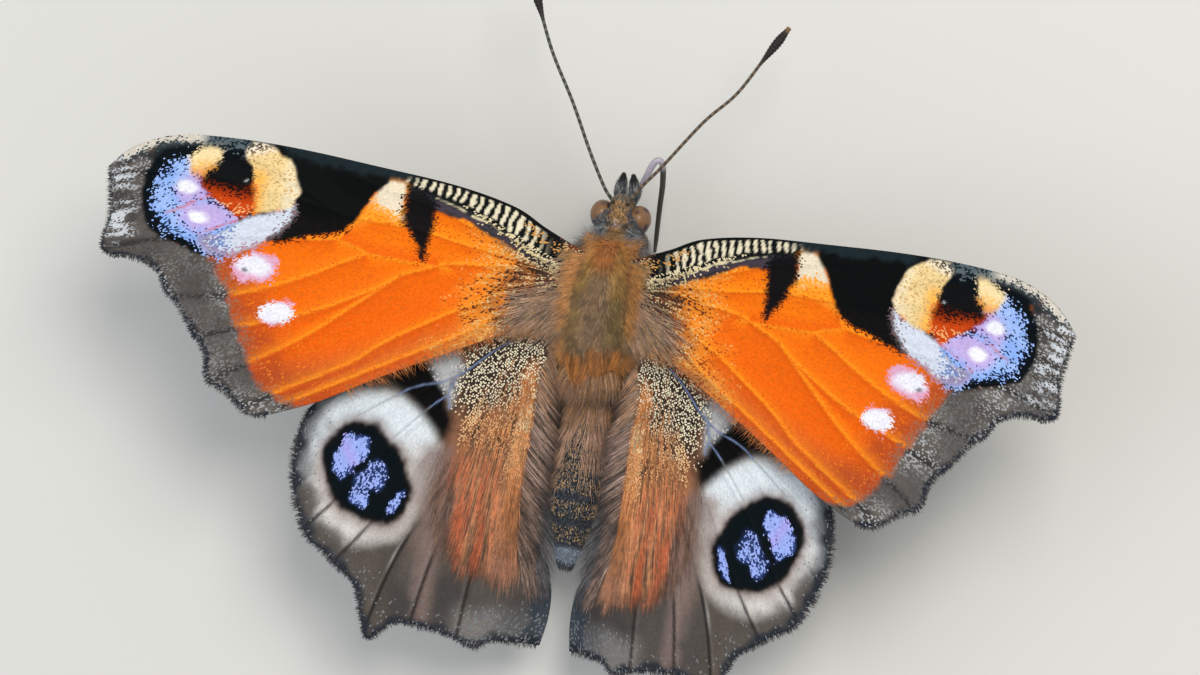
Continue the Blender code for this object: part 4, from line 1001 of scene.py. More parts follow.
def coat_material():
    """Insect hair: solid chitin bristles, silky along their length, so the coat has a faint sheen."""
    material, tree = new_material("insect hair, silky chitin")
    ground = add_node(tree, "Attribute", {"attribute_name": "ground"}, {})
    place = add_node(tree, "TexCoord", {}, {})
    patches = add_node(tree, "TexNoise", {}, {"Vector": place.outputs["Object"], "Scale": 2500.0, "Detail": 1.0})
    shade = add_node(tree, "MapRange", {}, {"Value": patches.outputs[0], "From Min": 0.3, "From Max": 0.7,
                                            "To Min": 0.85, "To Max": 1.15})
    varied = add_node(tree, "Mix", {"data_type": "RGBA", "blend_type": "MULTIPLY"},
                      {0: 1.0, 6: ground.outputs["Color"], 7: shade.outputs[0]})
    shader = add_node(tree, "BsdfPrincipled", {}, {"Base Color": varied.outputs[2], "Roughness": 0.55,
                                                   "Specular IOR Level": 0.35, "Sheen Weight": 0.15})
    add_node(tree, "OutputMaterial", {}, {"Surface": shader.outputs[0]})
    return material


def on_skin(turn, y):
    """Point, outward normal, backward and sideways directions of the skin, by small steps either way."""
    step = 0.02
    point = skin(turn, y)
    back = skin(turn, y - step) - skin(turn, y + step)
    aside = skin(turn + step, y) - skin(turn - step, y)
    back /= np.linalg.norm(back, axis=1, keepdims=True)
    aside /= np.linalg.norm(aside, axis=1, keepdims=True)
    out = np.cross(back, aside)
    return point, out / np.linalg.norm(out, axis=1, keepdims=True), back, aside


def skin_place(turn, y):
    """Place on the skin's own map: around in u, along in v."""
    spots = skin_spots(np.linspace(0, 1, 400))
    return np.stack([turn / (2 * np.pi) % 1, np.interp(-y, -spots, np.linspace(0, 1, 400))], 1)


def scatter(rng, count, y_range, turn_range, thick):
    """Seeded places on the skin, kept with a chance in step with the girth times the thickness of the coat."""
    turn = rng.uniform(*turn_range, 4 * count)
    y = rng.uniform(*y_range, 4 * count)
    girth = body_half(y)[:2].sum(0)
    weight = girth * thick(turn, y)
    keep = np.flatnonzero(rng.random(4 * count) * weight.max() < weight)[:count]
    return turn[keep], y[keep]


def shades(rng, base, dark, light, spread):
    """Root and tip colours of each hair: the base colour darkened and lightened, each hair a little its own."""
    own = base * rng.uniform(1 - spread, 1 + spread, (len(base), 1))
    tips = own * light
    return own * dark, tips / np.maximum(tips.max(1, keepdims=True), 1)


coat = coat_material()


def lay_coat(name, roots, flow, out, sizes, colours, where, steps=3, fat=0.7):
    """Make one coat piece from its tufts: sizes are length, half width, rise and bend. Tufts whose ends would
    reach the floor are left out."""
    length, width, rise, bend = sizes
    clear = (roots + length[:, None] * (flow + (rise + bend)[:, None] * out))[:, 2] > 0.04
    roots, flow, out, where = (a[clear] for a in (roots, flow, out, where))
    points, faces, ground, spread = strands(roots, flow, out, *(a[clear] for a in sizes),
                                            [a[clear] for a in colours], where, steps, fat)
    return make_piece(name, points, faces, coat, {"ground": ground}, {"OFBake": spread})


def thorax_fur(name, seed, count, turn_range):
    """Fur of the thorax: it fans back and outwards from the midline, stands up in the collar, and is longest on the
    flanks, where it reaches out over the wings' roots."""
    rng = np.random.default_rng(seed)
    turn, y = scatter(rng, count, (-11.4, -1.75), turn_range,
                      lambda turn, y: 1.0 + 0.7 * (y > -3.4) - 0.4 * (np.abs(turn) > 1.0))
    root, out, back, aside = on_skin(turn, y)
    side = np.sin(turn)
    clump = noise(root / (0.45, 0.8, 0.45), seed + 1)
    fine = noise(root / 0.16, seed + 2)
    collar = ease((y + 3.1 + 0.25 * clump) / 1.3)
    rear = ease((-8.8 - y) / 1.0)
    flank = ease((np.abs(side) - 0.6) / 0.25)
    angle = 0.85 * np.tanh(side * 1.5) * (1 - 0.55 * rear) + (0.45 + 0.5 * collar) * clump + 0.25 * fine
    turning = 4 * collar * (1 - collar)
    angle += rng.normal(0, 0.16, len(y)) * (1 + 1.5 * collar + 3 * turning)
    along = (1 - collar) * np.cos(angle) - 0.55 * collar
    level = np.array([1.0, 0, -0.12])
    across = np.sin(angle) * (1 - 0.55 * collar)
    flow = back * along[:, None] + (aside * (1 - flank)[:, None] + level * flank[:, None]) * across[:, None]
    flow /= np.linalg.norm(flow, axis=1, keepdims=True)
    length = rng.uniform(0.6, 1.05, len(y)) * (1 + 0.65 * flank * (1 - collar)) * (1 - 0.1 * collar * flank) * (1 - 0.3 * turning)
    rise = rng.uniform(0.25, 0.6, len(y)) + 0.35 * collar + 0.5 * turning - 0.1 * rear - 0.12 * flank
    base = coat_colours(root + 0.25 * out + 0.3 * length[:, None] * flow)
    base *= np.clip(1 + 0.22 * clump + 0.3 * fine, 0.3, 1.8)[:, None]
    lay_coat(name, root - 0.03 * out, flow, out, (length, rng.uniform(0.014, 0.025, len(y)), rise, -0.6 * rise),
             shades(rng, base, 0.55, 1.6, 0.35), skin_place(turn, y))


thorax_fur("thorax_fur_left", 101, 13500, (-1.75, 0.0))
thorax_fur("thorax_fur_right", 102, 13500, (0.0, 1.75))
thorax_fur("thorax_fur_under", 103, 6000, (1.7, 4.6))

# Head fur: short golden scales combed forward over the crown, grey-blue fur behind the eyes that spreads to the
# eyes' own width, and longer hair on the brow and down the face. It is the finest part of the coat.
rng = np.random.default_rng(110)
turn, y = scatter(rng, 9500, (-2.35, 0.38), (-np.pi, np.pi), lambda turn, y: 1.0 + 0.8 * (np.cos(turn) > 0.2))
root, out, back, aside = on_skin(turn, y)
clear = (root - np.stack([1.2 * np.sign(root[:, 0]), np.full(len(y), -0.75), np.full(len(y), 5.75)], 1)) / (
    0.74, 0.88, 1.0)
keep = (clear ** 2).sum(1) > 1
turn, y, root, out, back, aside = (a[keep] for a in (turn, y, root, out, back, aside))
forward = ease((y + 1.75) / 0.7)
swirl = 0.9 * noise(root / 0.22, 111) + rng.normal(0, 0.25, len(y))
flow = -back * (np.cos(swirl) * (2 * forward - 1))[:, None] + aside * np.sin(swirl)[:, None]
temple = ease((np.abs(root[:, 0]) - 0.45) / 0.25) * ease((-0.95 - y) / 0.3) * ease((root[:, 2] - 5.2) / 0.4)
spread_out = np.stack([np.sign(root[:, 0]), np.full(len(y), -0.55), np.full(len(y), 0.1)], 1)
flow = flow * (1 - temple)[:, None] + (spread_out + 0.3 * rng.normal(0, 1, flow.shape)) * temple[:, None]
flow /= np.linalg.norm(flow, axis=1, keepdims=True)
brow = ease((y + 0.15) / 0.35)
length = rng.uniform(0.2, 0.38, len(y)) * (1 + 0.7 * brow + 1.9 * temple)
base = coat_colours(root + 0.15 * out)
crown = (root[:, 2] > 6.1) & (np.abs(root[:, 0]) < 0.62) & (root[:, 1] > -1.25)
gold = (rng.random(len(y)) < 0.3) & crown
base[gold] = linear("E2B070")
dark = rng.random(len(y)) < 0.36
base[dark] *= 0.25
silver = (rng.random(len(y)) < 0.25) & (temple > 0.3)
base[silver] = linear("C2C8CC")
rise = rng.uniform(0.25, 0.6, len(y))
lay_coat("head_fur", root - 0.02 * out, flow, out,
         (length, rng.uniform(0.014, 0.024, len(y)) * (1 + 0.7 * crown), rise, -0.7 * rise),
         shades(rng, base, 0.5, 1.5, 0.35), skin_place(turn, y))

# Two ginger tufts close the thorax behind: their hairs run together into points over the waist.
rng = np.random.default_rng(120)
for word, box, tip, blunt in (("left", (-1.75, 0.5, -10.6, -9.2), (-0.5, -11.75, 7.9), 0.04),
                              ("right", (-0.4, 2.25, -10.2, -8.5), (0.9, -10.85, 8.0), 0.55)):
    count = 1700
    x, y = rng.uniform(*box[:2], count), rng.uniform(*box[2:], count)
    turn = np.arcsin(np.clip(x / body_half(y)[0], -0.98, 0.98))
    root, out, back, aside = on_skin(turn, y)
    wide = blunt * (x - tip[0])
    aim = np.array(tip) + np.stack([wide, 1.25 * np.clip(wide, -0.2, None) + 0.25, 0 * x], 1) + 0.1 * rng.normal(0, 1, (count, 3)) - root
    reach = np.linalg.norm(aim, axis=1)
    flow = aim / reach[:, None]
    length = reach * rng.uniform(0.5, 1.12, count)
    rise = rng.uniform(0.25, 0.6, count)
    clump = 0.45 * noise(root / (0.3, 0.8, 0.8), 121) + 0.4 * noise(root / 0.13, 122)
    base = np.tile(linear("CC8640"), (count, 1)) * np.clip(1 + 1.2 * clump, 0.2, 1.8)[:, None]
    edge_of = 0.6 * ease((np.abs(x - tip[0] + 0.2) - 1.0) / 0.4)
    base = base * (1 - edge_of)[:, None] + linear("8E7650") * edge_of[:, None]
    lay_coat("rear_tuft_" + word, root, flow, out, (length, rng.uniform(0.014, 0.024, count), rise, -0.9 * rise),
             shades(rng, base, 0.3, 1.5, 0.4), skin_place(turn, y), steps=4)

# Abdomen scales: small overlapping plates, blue black and slate, with gold ones strewn in a band on each ring, and
# grey blue at the blunt end, where a fringe of short dark hairs closes it.
rng = np.random.default_rng(130)
turn, y = scatter(rng, 15500, (-23.28, -12.0), (-np.pi, np.pi), lambda turn, y: 1.0 + 0.6 * (np.cos(turn) > 0))
root, out, back, aside = on_skin(turn, y)
ring = ((ABDOMEN_FRONT - y) / 13.0 * 8) % 1
base = coat_colours(root)
pick = rng.random(len(y))
base[pick < 0.25] = linear("36434F")
base[pick > 0.88] = linear("647284")
base *= rng.uniform(0.5, 1.6, (len(y), 1))
band = ease((0.40 - np.abs(ring - 0.52)) / 0.14) * ease((y + 21.9) / 0.4) * ease((root[:, 2] - 5.2) / 0.6)
band *= 0.6 + 0.4 * noise(root / 0.35, 131)
gold = rng.random(len(y)) < np.where(y > -17.6, 0.34 * ease((0.95 - np.abs(turn + 0.1)) / 0.5), 0.42 * band)
base[gold] = linear("F4C888") * rng.uniform(0.6, 1.4, (gold.sum(), 1))
rise = rng.uniform(0.12, 0.3, len(y)) + 0.15 * gold
end = (y < -21.9) & ~gold
base[end] = linear("8794A4") * rng.uniform(0.35, 1.5, (end.sum(), 1))
swirl = rng.normal(0, 0.3, len(y))
flow = back * np.cos(swirl)[:, None] + aside * np.sin(swirl)[:, None]
lay_coat("abdomen_scales", root - 0.01 * out, flow, out,
         (rng.uniform(0.1, 0.17, len(y)), rng.uniform(0.022, 0.034, len(y)) * (1 - 0.3 * gold), rise, -0.6 * rise),
         shades(rng, base, 0.8, 1.25, 0.15), skin_place(turn, y), fat=0.35)

rng = np.random.default_rng(135)
turn, y = rng.uniform(-np.pi, np.pi, 420), rng.uniform(-23.25, -22.8, 420)
root, out, back, aside = on_skin(turn, y)
flow = back + (0, -1.2, 0) + 0.15 * rng.normal(0, 1, (420, 3))
flow /= np.linalg.norm(flow, axis=1, keepdims=True)
base = np.tile(linear("3E444C"), (420, 1))
lay_coat("abdomen_end_hair", root, flow, out, (rng.uniform(0.2, 0.42, 420), rng.uniform(0.012, 0.018, 420),
         np.full(420, 0.1), np.full(420, -0.1)), shades(rng, base, 0.9, 0.8, 0.4), skin_place(turn, y))

# Abdomen hair: long pinkish brown hairs from the waist and the first rings. They part along the middle and lie
# back and outwards, and thin out toward the fifth ring.
rng = np.random.default_rng(140)
turn, y = scatter(rng, 8500, (-19.4, -10.0), (-2.1, 2.1), lambda turn, y: (
    ease((y + 19.4) / 8.0) ** 1.3 * (1 - 0.9 * ease((0.6 - np.abs(turn + 0.12)) / 0.45) * ease((-11.8 - y) / 3.6))))
root, out, back, aside = on_skin(turn, y)
wisp = noise(np.stack([turn * 2.2, y * 0.55], 1), 141)
fine = noise(np.stack([turn * 10.0, y * 1.6], 1), 142)
angle = 0.42 * np.tanh(1.6 * turn) + 0.35 * wisp + 0.12 * fine + rng.normal(0, 0.09, len(y))
flow = back * np.cos(angle)[:, None] + aside * np.sin(angle)[:, None]
waist = ease((y + 11.9) / 0.6)[:, None]
flow = flow * (1 - waist) + waist * np.stack([np.sin(angle), -np.cos(angle), np.full(len(y), -0.05)], 1)
length = rng.uniform(1.0, 2.3, len(y)) * (0.55 + 0.45 * ease((y + 18.0) / 5.0))
rise = rng.uniform(0.12, 0.3, len(y)) + 0.05 * wisp
base = np.tile(linear("E2B698"), (len(y), 1)) * (1 + 0.45 * fine[:, None])
tan = rng.random(len(y)) < 0.6 * ease((y + 13.4) / 1.2)
base[tan] = linear("C4925A")
deep = rng.random(len(y)) < 0.25
base[deep] *= 0.3
shade = edge(0.3 - np.abs(off_line(root[:, :2], REAR_SHADE, 3.0)[0]), 0.5)
base *= 1 - 0.75 * shade[:, None]
lay_coat("abdomen_hair", root - 0.03 * out, flow, out,
         (length, rng.uniform(0.011, 0.018, len(y)), rise, -0.75 * rise),
         shades(rng, base, 0.7, 1.4, 0.4), skin_place(turn, y))

# Wing hair
# Hair-like scales that stand in the wings: pinkish and olive ones fan from the hinge over each forewing's base, an
# orange fringe lies along its rear edge, rust and tan ones stream back over the inner hindwing, and grey-brown ones
# lean from its fold over the abdomen.


def on_wing(side, sheet, veins, spot, aim):
    """Point on a wing's upper face, its normal and the in-plane aim carried onto it, by small steps in x and y."""
    def top(at):
        place = sheet(side, at)
        place[:, 2] += relief(at, veins) + WING_THICKNESS / 2
        return place
    step = 0.05
    point = top(spot)
    over_x = top(spot + (step, 0)) - point
    over_y = top(spot + (0, step)) - point
    out = np.cross(over_x, over_y) * side
    flow = (over_x * aim[:, :1] + over_y * aim[:, 1:]) / step
    return (point, out / np.linalg.norm(out, axis=1, keepdims=True),
            flow / np.linalg.norm(flow, axis=1, keepdims=True))


def over_hindwing(side, root, out, flow, length, rise, bend):
    """The bend that keeps a hair from coming out below the hindwing where the fold turns up under it: what its tip
    or its middle lacks in height over the middle of the sheet, given back along its own normal."""
    for t, share in ((1.0, 1.0), (0.55, 0.3)):
        at = root + (length * t)[:, None] * (flow + (rise + bend * t)[:, None] * out)
        spot = np.stack([(at[:, 0] * side - ROOT_OUT) / np.cos(HIND_RISE), at[:, 1]], 1)
        lack = hind_sheet(side, spot)[:, 2] - at[:, 2]
        bend = bend + np.clip(lack, 0, None) / (length * share * np.maximum(out[:, 2], 0.4))
    return bend


def wing_place(side, spot, spots):
    """Place of a spot on the upper face's own map."""
    flat = spots.reshape(-1, 2)
    return (spot - flat.min(0)) / np.ptp(flat, axis=0).max() * 0.48 + (0.01, 0.01)


fore_spots = patch(FORE_FRONT, FORE_REAR[::-1], FORE_ROOT, FORE_OUTER[::-1], (40, 20))
hind_spots = patch(HIND_FRONT, HIND_INNER, HIND_ROOT, HIND_OUTER[::-1], (40, 40))


def directed(angle):
    """Unit directions in the wing's plane from their angles."""
    return np.stack([np.cos(angle), np.sin(angle)], 1)


def pick_colour(rng, base, code, chance):
    """Give this colour to a share of the hairs."""
    base[rng.random(len(base)) < chance] = linear(code)


def forewing_hair(side, word):
    """Hairs of a forewing's base: rooted near the hinge they fan out and back from the thorax, and finer orange
    ones stand along the rear edge."""
    rng = np.random.default_rng(150 + side)
    x = -0.9 + 5.4 * rng.random(12000) ** 1.4
    y = rng.uniform(-10.4, -4.4, 12000)
    spot = np.stack([x, y], 1)
    inside = (depth_in(spot, FORE_FRONT + FORE_OUTER[1:-1] + FORE_REAR) > 0.05)
    rear = ease((-5.2 - y - 0.12 * x) / 2.0)
    spot = spot[inside & (rng.random(12000) < rear * ease((4.3 - x) / 4.0))][:1700]
    x, y = spot.T
    wisp = noise(spot / (1.3, 0.5), 151)
    angle = np.arctan2(y + 4.4, x + 2.4) + 0.25 * wisp + rng.normal(0, 0.12, len(x))
    base = np.tile(linear("D4B094"), (len(x), 1)) * (1 + 0.4 * wisp[:, None])
    pick_colour(rng, base, "3E3C34", 0.27)
    pick_colour(rng, base, "C29A62", 0.25 * ease((2.5 - x) / 2))
    pick_colour(rng, base, "C08C5C", 0.6 * (y < -7.8))
    length = rng.uniform(0.7, 2.5, len(x)) * (0.5 + 0.5 * ease((4.0 - x) / 3))

    line = curve(FORE_REAR, 400)
    line = line[(line[:, 0] > 1.5) & (line[:, 0] < 12.5)]
    at = rng.integers(0, len(line), 280)
    run = np.gradient(line, axis=0)[at]
    behind = np.stack([run[:, 1], -run[:, 0]], 1) / np.linalg.norm(run, axis=1, keepdims=True)
    behind *= -np.sign(behind[:, 1:])
    rim = line[at] - behind * rng.uniform(0.03, 0.4, 280)[:, None]
    rim_base = np.tile(linear("E08A3A"), (280, 1))
    pick_colour(rng, rim_base, "B86428", 0.4)
    rim_aim = behind + np.stack([np.full(280, -0.3), np.zeros(280)], 1) + 0.3 * rng.normal(0, 1, (280, 2))
    spot = np.vstack([spot, rim])
    aim = np.vstack([directed(angle), rim_aim])
    base = np.vstack([base, rim_base])
    length = np.append(length, rng.uniform(0.6, 1.2, 280))
    root, out, flow = on_wing(side, fore_sheet, FORE_VEINS, spot, aim)
    rise = np.append(rng.uniform(0.05, 0.18, len(x)), np.full(280, 0.02))
    lay_coat("forewing_hair_" + word, root, flow, out, (length, rng.uniform(0.011, 0.018, len(base)), rise,
             -0.7 * rise), shades(rng, base, 0.7, 1.35, 0.4), wing_place(side, spot, fore_spots))


def shoulder_fur(side, word):
    """Fur of the wings' roots, which carries the thorax's coat out over both hinges."""
    rng = np.random.default_rng(145 + side)
    count = 4200
    fore = rng.random(count) < 0.68
    x = rng.uniform(-1.0, 0.75, count)
    y = np.where(fore, rng.uniform(-8.2, -3.3, count), rng.uniform(-12.2, -8.0, count))
    spot = np.stack([x, y], 1)
    edge_in = np.where(fore, depth_in(spot, FORE_FRONT + FORE_OUTER[1:-1] + FORE_REAR),
                       depth_in(spot, HIND_INNER + HIND_OUTER[::-1] + HIND_FRONT[::-1]))
    keep = (edge_in > 0.03) & (rng.random(count) < ease((0.6 - x - 0.5 * (y < -10.5)) / 1.3))
    spot, fore = spot[keep], fore[keep]
    clump = noise(spot / 0.5, 146)
    fine = noise(spot / 0.16, 147)
    angle = -0.75 + 0.35 * clump + 0.09 * (spot[:, 1] + 7.0) + rng.normal(0, 0.2, len(spot))
    aim = directed(angle)
    front = on_wing(side, fore_sheet, FORE_VEINS, spot, aim)
    behind = on_wing(side, hind_sheet, HIND_VEINS, spot, aim)
    root, out, flow = (np.where(fore[:, None], a, b) for a, b in zip(front, behind))
    length = rng.uniform(0.5, 1.4, len(spot))
    rise = rng.uniform(0.2, 0.7, len(spot)) * ease((1.3 - spot[:, 0]) / 1.6)
    base = coat_colours(root + 0.4 * length[:, None] * flow)
    base *= np.clip(1.1 + 0.3 * clump + 0.4 * fine, 0.3, 1.9)[:, None]
    lay_coat("shoulder_fur_" + word, root, flow, out, (length, rng.uniform(0.014, 0.025, len(spot)), rise,
             -0.7 * rise), shades(rng, base, 0.6, 1.55, 0.35), wing_place(side, spot, fore_spots))


def hindwing_hair(side, word):
    """Hairs of a hindwing's inner half: they stream from the hinge to a ragged end at the border."""
    rng = np.random.default_rng(160 + side)
    count = 36000
    x = rng.uniform(-0.8, 7.0, count)
    y = rng.uniform(-25.2, -9.5, count)
    spot = np.stack([x, y], 1)
    wisp = noise(np.stack([x * 1.5, y * 0.3], 1), 161)
    within = (edge(depth_in(spot, HAIR_FIELD, 3.0) + 0.5 * wisp, 2.2)
              * ease((off_line(spot, HIND_INNER, 6.0)[0] - np.interp(y, *FOLD_LINE) + 0.15) / 0.5))
    thick = within * (0.09 + 0.91 * ease((-15.5 - y) / 4.5)) * (1 - 0.85 * dot_rows(x, y))
    dots = spot[rng.random(count) < 0.35 * within * dot_rows(x, y) ** 2 * ease(5.2 - x)][:1300]
    spot = spot[rng.random(count) < thick][:9000]
    x, y = spot.T
    wisp = noise(np.stack([x * 2.2, y * 0.4], 1), 162)
    fine = noise(np.stack([x * 9.0, y * 0.7], 1), 163)
    angle = np.arctan2(y + 4.0, (x - 0.9) * 0.62) + 0.08 * wisp + rng.normal(0, 0.045, len(x))
    root, out, flow = on_wing(side, hind_sheet, HIND_VEINS, spot, directed(angle))
    inner = off_line(spot, HIND_INNER, 6.0)[0]
    fold = np.interp(y, *FOLD_LINE)
    base = np.ones((len(x), 4))
    base[:, :3] = linear("D89868")
    lay(base, "DE9858", 0.8 * ease((y + 18.5) / 4.0))
    lay(base, "D2683A", 0.85 * ease(0.1 + 1.4 * fine + 0.9 * wisp) * ease((-14.5 - y) / 3.5) * ease((x - 1.6) / 1.5))
    lay(base, "86726A", 0.9 * ease((x - 4.1 - 1.1 * ease((y + 19.5) / 4.0) - 0.5 * wisp) / 0.9))
    lay(base, "E8AC8C", 0.8 * ease((-20.5 - y) / 2.5) * ease((3.0 - x) / 1.5))
    lay(base, "DC9458", 0.9 * edge(0.45 - np.abs(inner - fold - 0.45), 0.4) * ease((y + 22.0) / 4.0))
    lay(base, "4A2E20", 0.85 * ease(-0.05 - 1.8 * fine) * ease((inner - fold - 0.8) / 0.4))
    dark = rng.random(len(x)) < 0.14
    base[dark, :3] *= 0.3
    deep_in = ease(depth_in(spot, HAIR_FIELD, 3.0) / 1.6)
    lay(base, "946C54", 0.4 * (1 - deep_in) * ease((x - 2.4) / 1.2))
    length = rng.uniform(1.1, 2.9, len(x)) * (0.55 + 0.45 * deep_in) * (0.7 + 0.3 * ease((-14.5 - y) / 3.0))
    width = rng.uniform(0.012, 0.022, len(x)) * (0.7 + 0.3 * deep_in)
    rise = rng.uniform(0.03, 0.09, len(x))

    # short pale scales that stand between the hairs in strings
    more = len(dots)
    dot_base = np.tile(linear("F0D0A0"), (more, 1))
    dot_base[dots[:, 1] < -15.0] = linear("EDB47C")
    root, out, flow = (np.vstack(pair) for pair in zip((root, out, flow), on_wing(
        side, hind_sheet, HIND_VEINS, dots, directed(np.full(more, -1.5)))))
    rise = np.append(rise, np.full(more, 0.7))
    length = np.append(length, rng.uniform(0.16, 0.26, more))
    width = np.append(width, rng.uniform(0.03, 0.045, more))
    base = np.vstack([base[:, :3], dot_base])
    bend = over_hindwing(side, root, out, flow, length, rise, -0.8 * rise)
    lay_coat("hindwing_hair_" + word, root, flow, out, (length, width, rise, bend),
             shades(rng, np.minimum(base, 0.85), 0.95, 1.45, 0.35),
             wing_place(side, np.vstack([spot, dots]), hind_spots))


def fold_hair(side, word):
    """Long hairs of the inner fold: rooted beside the inner margin, they lean over the abdomen's flank."""
    rng = np.random.default_rng(170 + side)
    count = 4600
    y = rng.uniform(-24.6, -9.4, count)
    inner = np.interp(y, [p[1] for p in INNER_MARGIN], [p[0] for p in INNER_MARGIN])
    fold = np.interp(y, *FOLD_LINE)
    out_x = inner + 0.12 + (fold - 0.1) * rng.random(count) ** 1.1
    spot = np.stack([(out_x - ROOT_OUT) / np.cos(HIND_RISE), y], 1)
    wisp = noise(np.stack([out_x, y * 1.1], 1), 171)
    fine = noise(np.stack([out_x * 4, y * 4.2], 1), 172)
    lean = table(y, [(-25, 0.15), (-22, 0.55), (-17, 0.88), (-12, 0.75), (-9.5, 0.5)])
    angle = -np.pi / 2 - lean + 0.10 * wisp + rng.normal(0, 0.05, count)
    root, out, flow = on_wing(side, hind_sheet, HIND_VEINS, spot, directed(angle))
    up = np.tile((0, 0, 1.0), (count, 1))
    flow[:, 2] += 0.05
    length = rng.uniform(1.5, 3.0, count) * (0.6 + 0.4 * ease((y + 24.5) / 3.0))
    rise = rng.uniform(0.25, 0.42, count) * ease((y + 25.5) / 3.0)
    base = np.ones((count, 4))
    base[:, :3] = linear("AC8E7E")
    lay(base, "C8966A", 0.8 * ease((y + 14.5) / 3.0))
    lay(base, "4E4038", ease(-0.1 - 1.6 * fine))
    lay(base, "CCB2A4", ease(-0.3 + 1.6 * fine) * 0.7)
    lay(base, "5C6670", 0.75 * ease((-16.5 - y) / 3.0) * (out_x - inner < 0.75))
    pick = rng.random(count)
    base[pick < 0.3, :3] *= 0.25
    base[pick > 0.8, :3] *= 1.5
    bend = over_hindwing(side, root, up, flow, length, rise, -1.05 * rise)
    lay_coat("fold_hair_" + word, root, flow, up, (length, rng.uniform(0.011, 0.019, count), rise, bend),
             shades(rng, np.minimum(base[:, :3], 0.8), 0.8, 1.3, 0.3), wing_place(side, spot, hind_spots))


def fringe(name, side, outline, sheet, veins, spots, seed):
    """Fringe scales in the wing's plane, square to its margin: the outline's own normals, a little ragged."""
    rng = np.random.default_rng(seed)
    count = 2100
    line = curve(outline, 1600)
    run = np.gradient(line, axis=0)
    run /= np.linalg.norm(run, axis=1, keepdims=True)
    pick = rng.integers(8, 1592, count)
    normal = np.stack([-run[pick, 1], run[pick, 0]], 1)
    normal *= np.sign(((line[pick] - spots.reshape(-1, 2).mean(0)) * normal).sum(1))[:, None]
    tooth = noise(np.stack([pick * 0.011, np.zeros(count)], 1), seed)
    spot = line[pick] - normal * rng.uniform(0.02, 0.3, count)[:, None]
    aim = normal + 0.25 * rng.normal(0, 1, (count, 2))
    root, out, flow = on_wing(side, sheet, veins, spot, aim)
    root -= out * (WING_THICKNESS * rng.random(count))[:, None]
    length = rng.uniform(0.22, 0.46, count) * (1 + 0.3 * tooth)
    base = np.tile(linear("2A313C"), (count, 1))
    base[rng.random(count) < 0.06 + 0.25 * ease(tooth * 2 - 0.4)] = linear("A9ABA8")
    pick_colour(rng, base, "5C544E", 0.25)
    flat_rise = np.zeros(count)
    lay_coat(name, root, flow, out, (length, rng.uniform(0.02, 0.036, count), flat_rise, flat_rise),
             shades(rng, base, 0.9, 1.1, 0.3), wing_place(side, spot, spots), fat=0.4)


HAIR_FIELD = [(5.7, -16.8), (6.1, -19.4), (5.4, -22.0), (3.8, -23.2), (2.7, -23.6), (1.8, -23.9), (0.6, -23.7),
              (-0.6, -22.8), (-0.9, -20.0), (-0.6, -17.0), (-0.2, -12.0), (1.2, -10.4), (3.2, -11.4), (4.6, -14.2)]
for side, word in ((-1, "left"), (1, "right")):
    shoulder_fur(side, word)
    forewing_hair(side, word)
    hindwing_hair(side, word)
    fold_hair(side, word)
    fringe("forewing_fringe_" + word, side, FORE_OUTER, fore_sheet, FORE_VEINS, fore_spots, 180)
    fringe("hindwing_fringe_" + word, side, HIND_OUTER, hind_sheet, HIND_VEINS, hind_spots, 181)


# Eyes
# Each is a half dome of some thousands of hexagonal lenses of clear brown chitin, close packed, with a pale
# rim of tiny scales where it meets the head. Darker spots show through from inside.
EYE_CENTRE = (1.2, -0.75, 5.75)
EYE_RADII = (0.78, 0.92, 1.05)


def eye_lenses():
    """Peacock eye: clear brown chitin lenses about 25 microns wide, drawn three times as coarse so that they
    show. Each is domed, the whole has a soft gloss, and cloudy darker spots lie behind."""
    material, tree = new_material("compound eye, brown chitin lenses")
    place = add_node(tree, "TexCoord", {}, {})
    lenses = add_node(tree, "TexVoronoi", {}, {"Vector": place.outputs["Object"], "Scale": 14000.0,
                                               "Randomness": 0.35})
    spots = add_node(tree, "TexVoronoi", {}, {"Vector": place.outputs["Object"], "Scale": 1200.0})
    cloud = add_node(tree, "TexNoise", {}, {"Vector": place.outputs["Object"], "Scale": 1500.0})
    spot = add_node(tree, "MapRange", {}, {"Value": spots.outputs["Distance"], "From Min": 0.16, "From Max": 0.38})
    tone = add_node(tree, "Mix", {"data_type": "RGBA"},
                    {0: cloud.outputs[0], 6: (*linear("5A3E2A"), 1), 7: (*linear("966C44"), 1)})
    spotted = add_node(tree, "Mix", {"data_type": "RGBA"},
                       {0: spot.outputs[0], 6: (*linear("33222A"), 1), 7: tone.outputs[2]})
    bump = add_node(tree, "Bump", {"invert": True}, {"Height": lenses.outputs["Distance"], "Strength": 0.35,
                                                     "Distance": 0.00002})
    shader = add_node(tree, "BsdfPrincipled", {}, {"Base Color": spotted.outputs[2], "Roughness": 0.38,
                                                   "Specular IOR Level": 0.4, "Coat Weight": 0.15,
                                                   "Normal": bump.outputs[0]})
    add_node(tree, "OutputMaterial", {}, {"Surface": shader.outputs[0]})
    return material


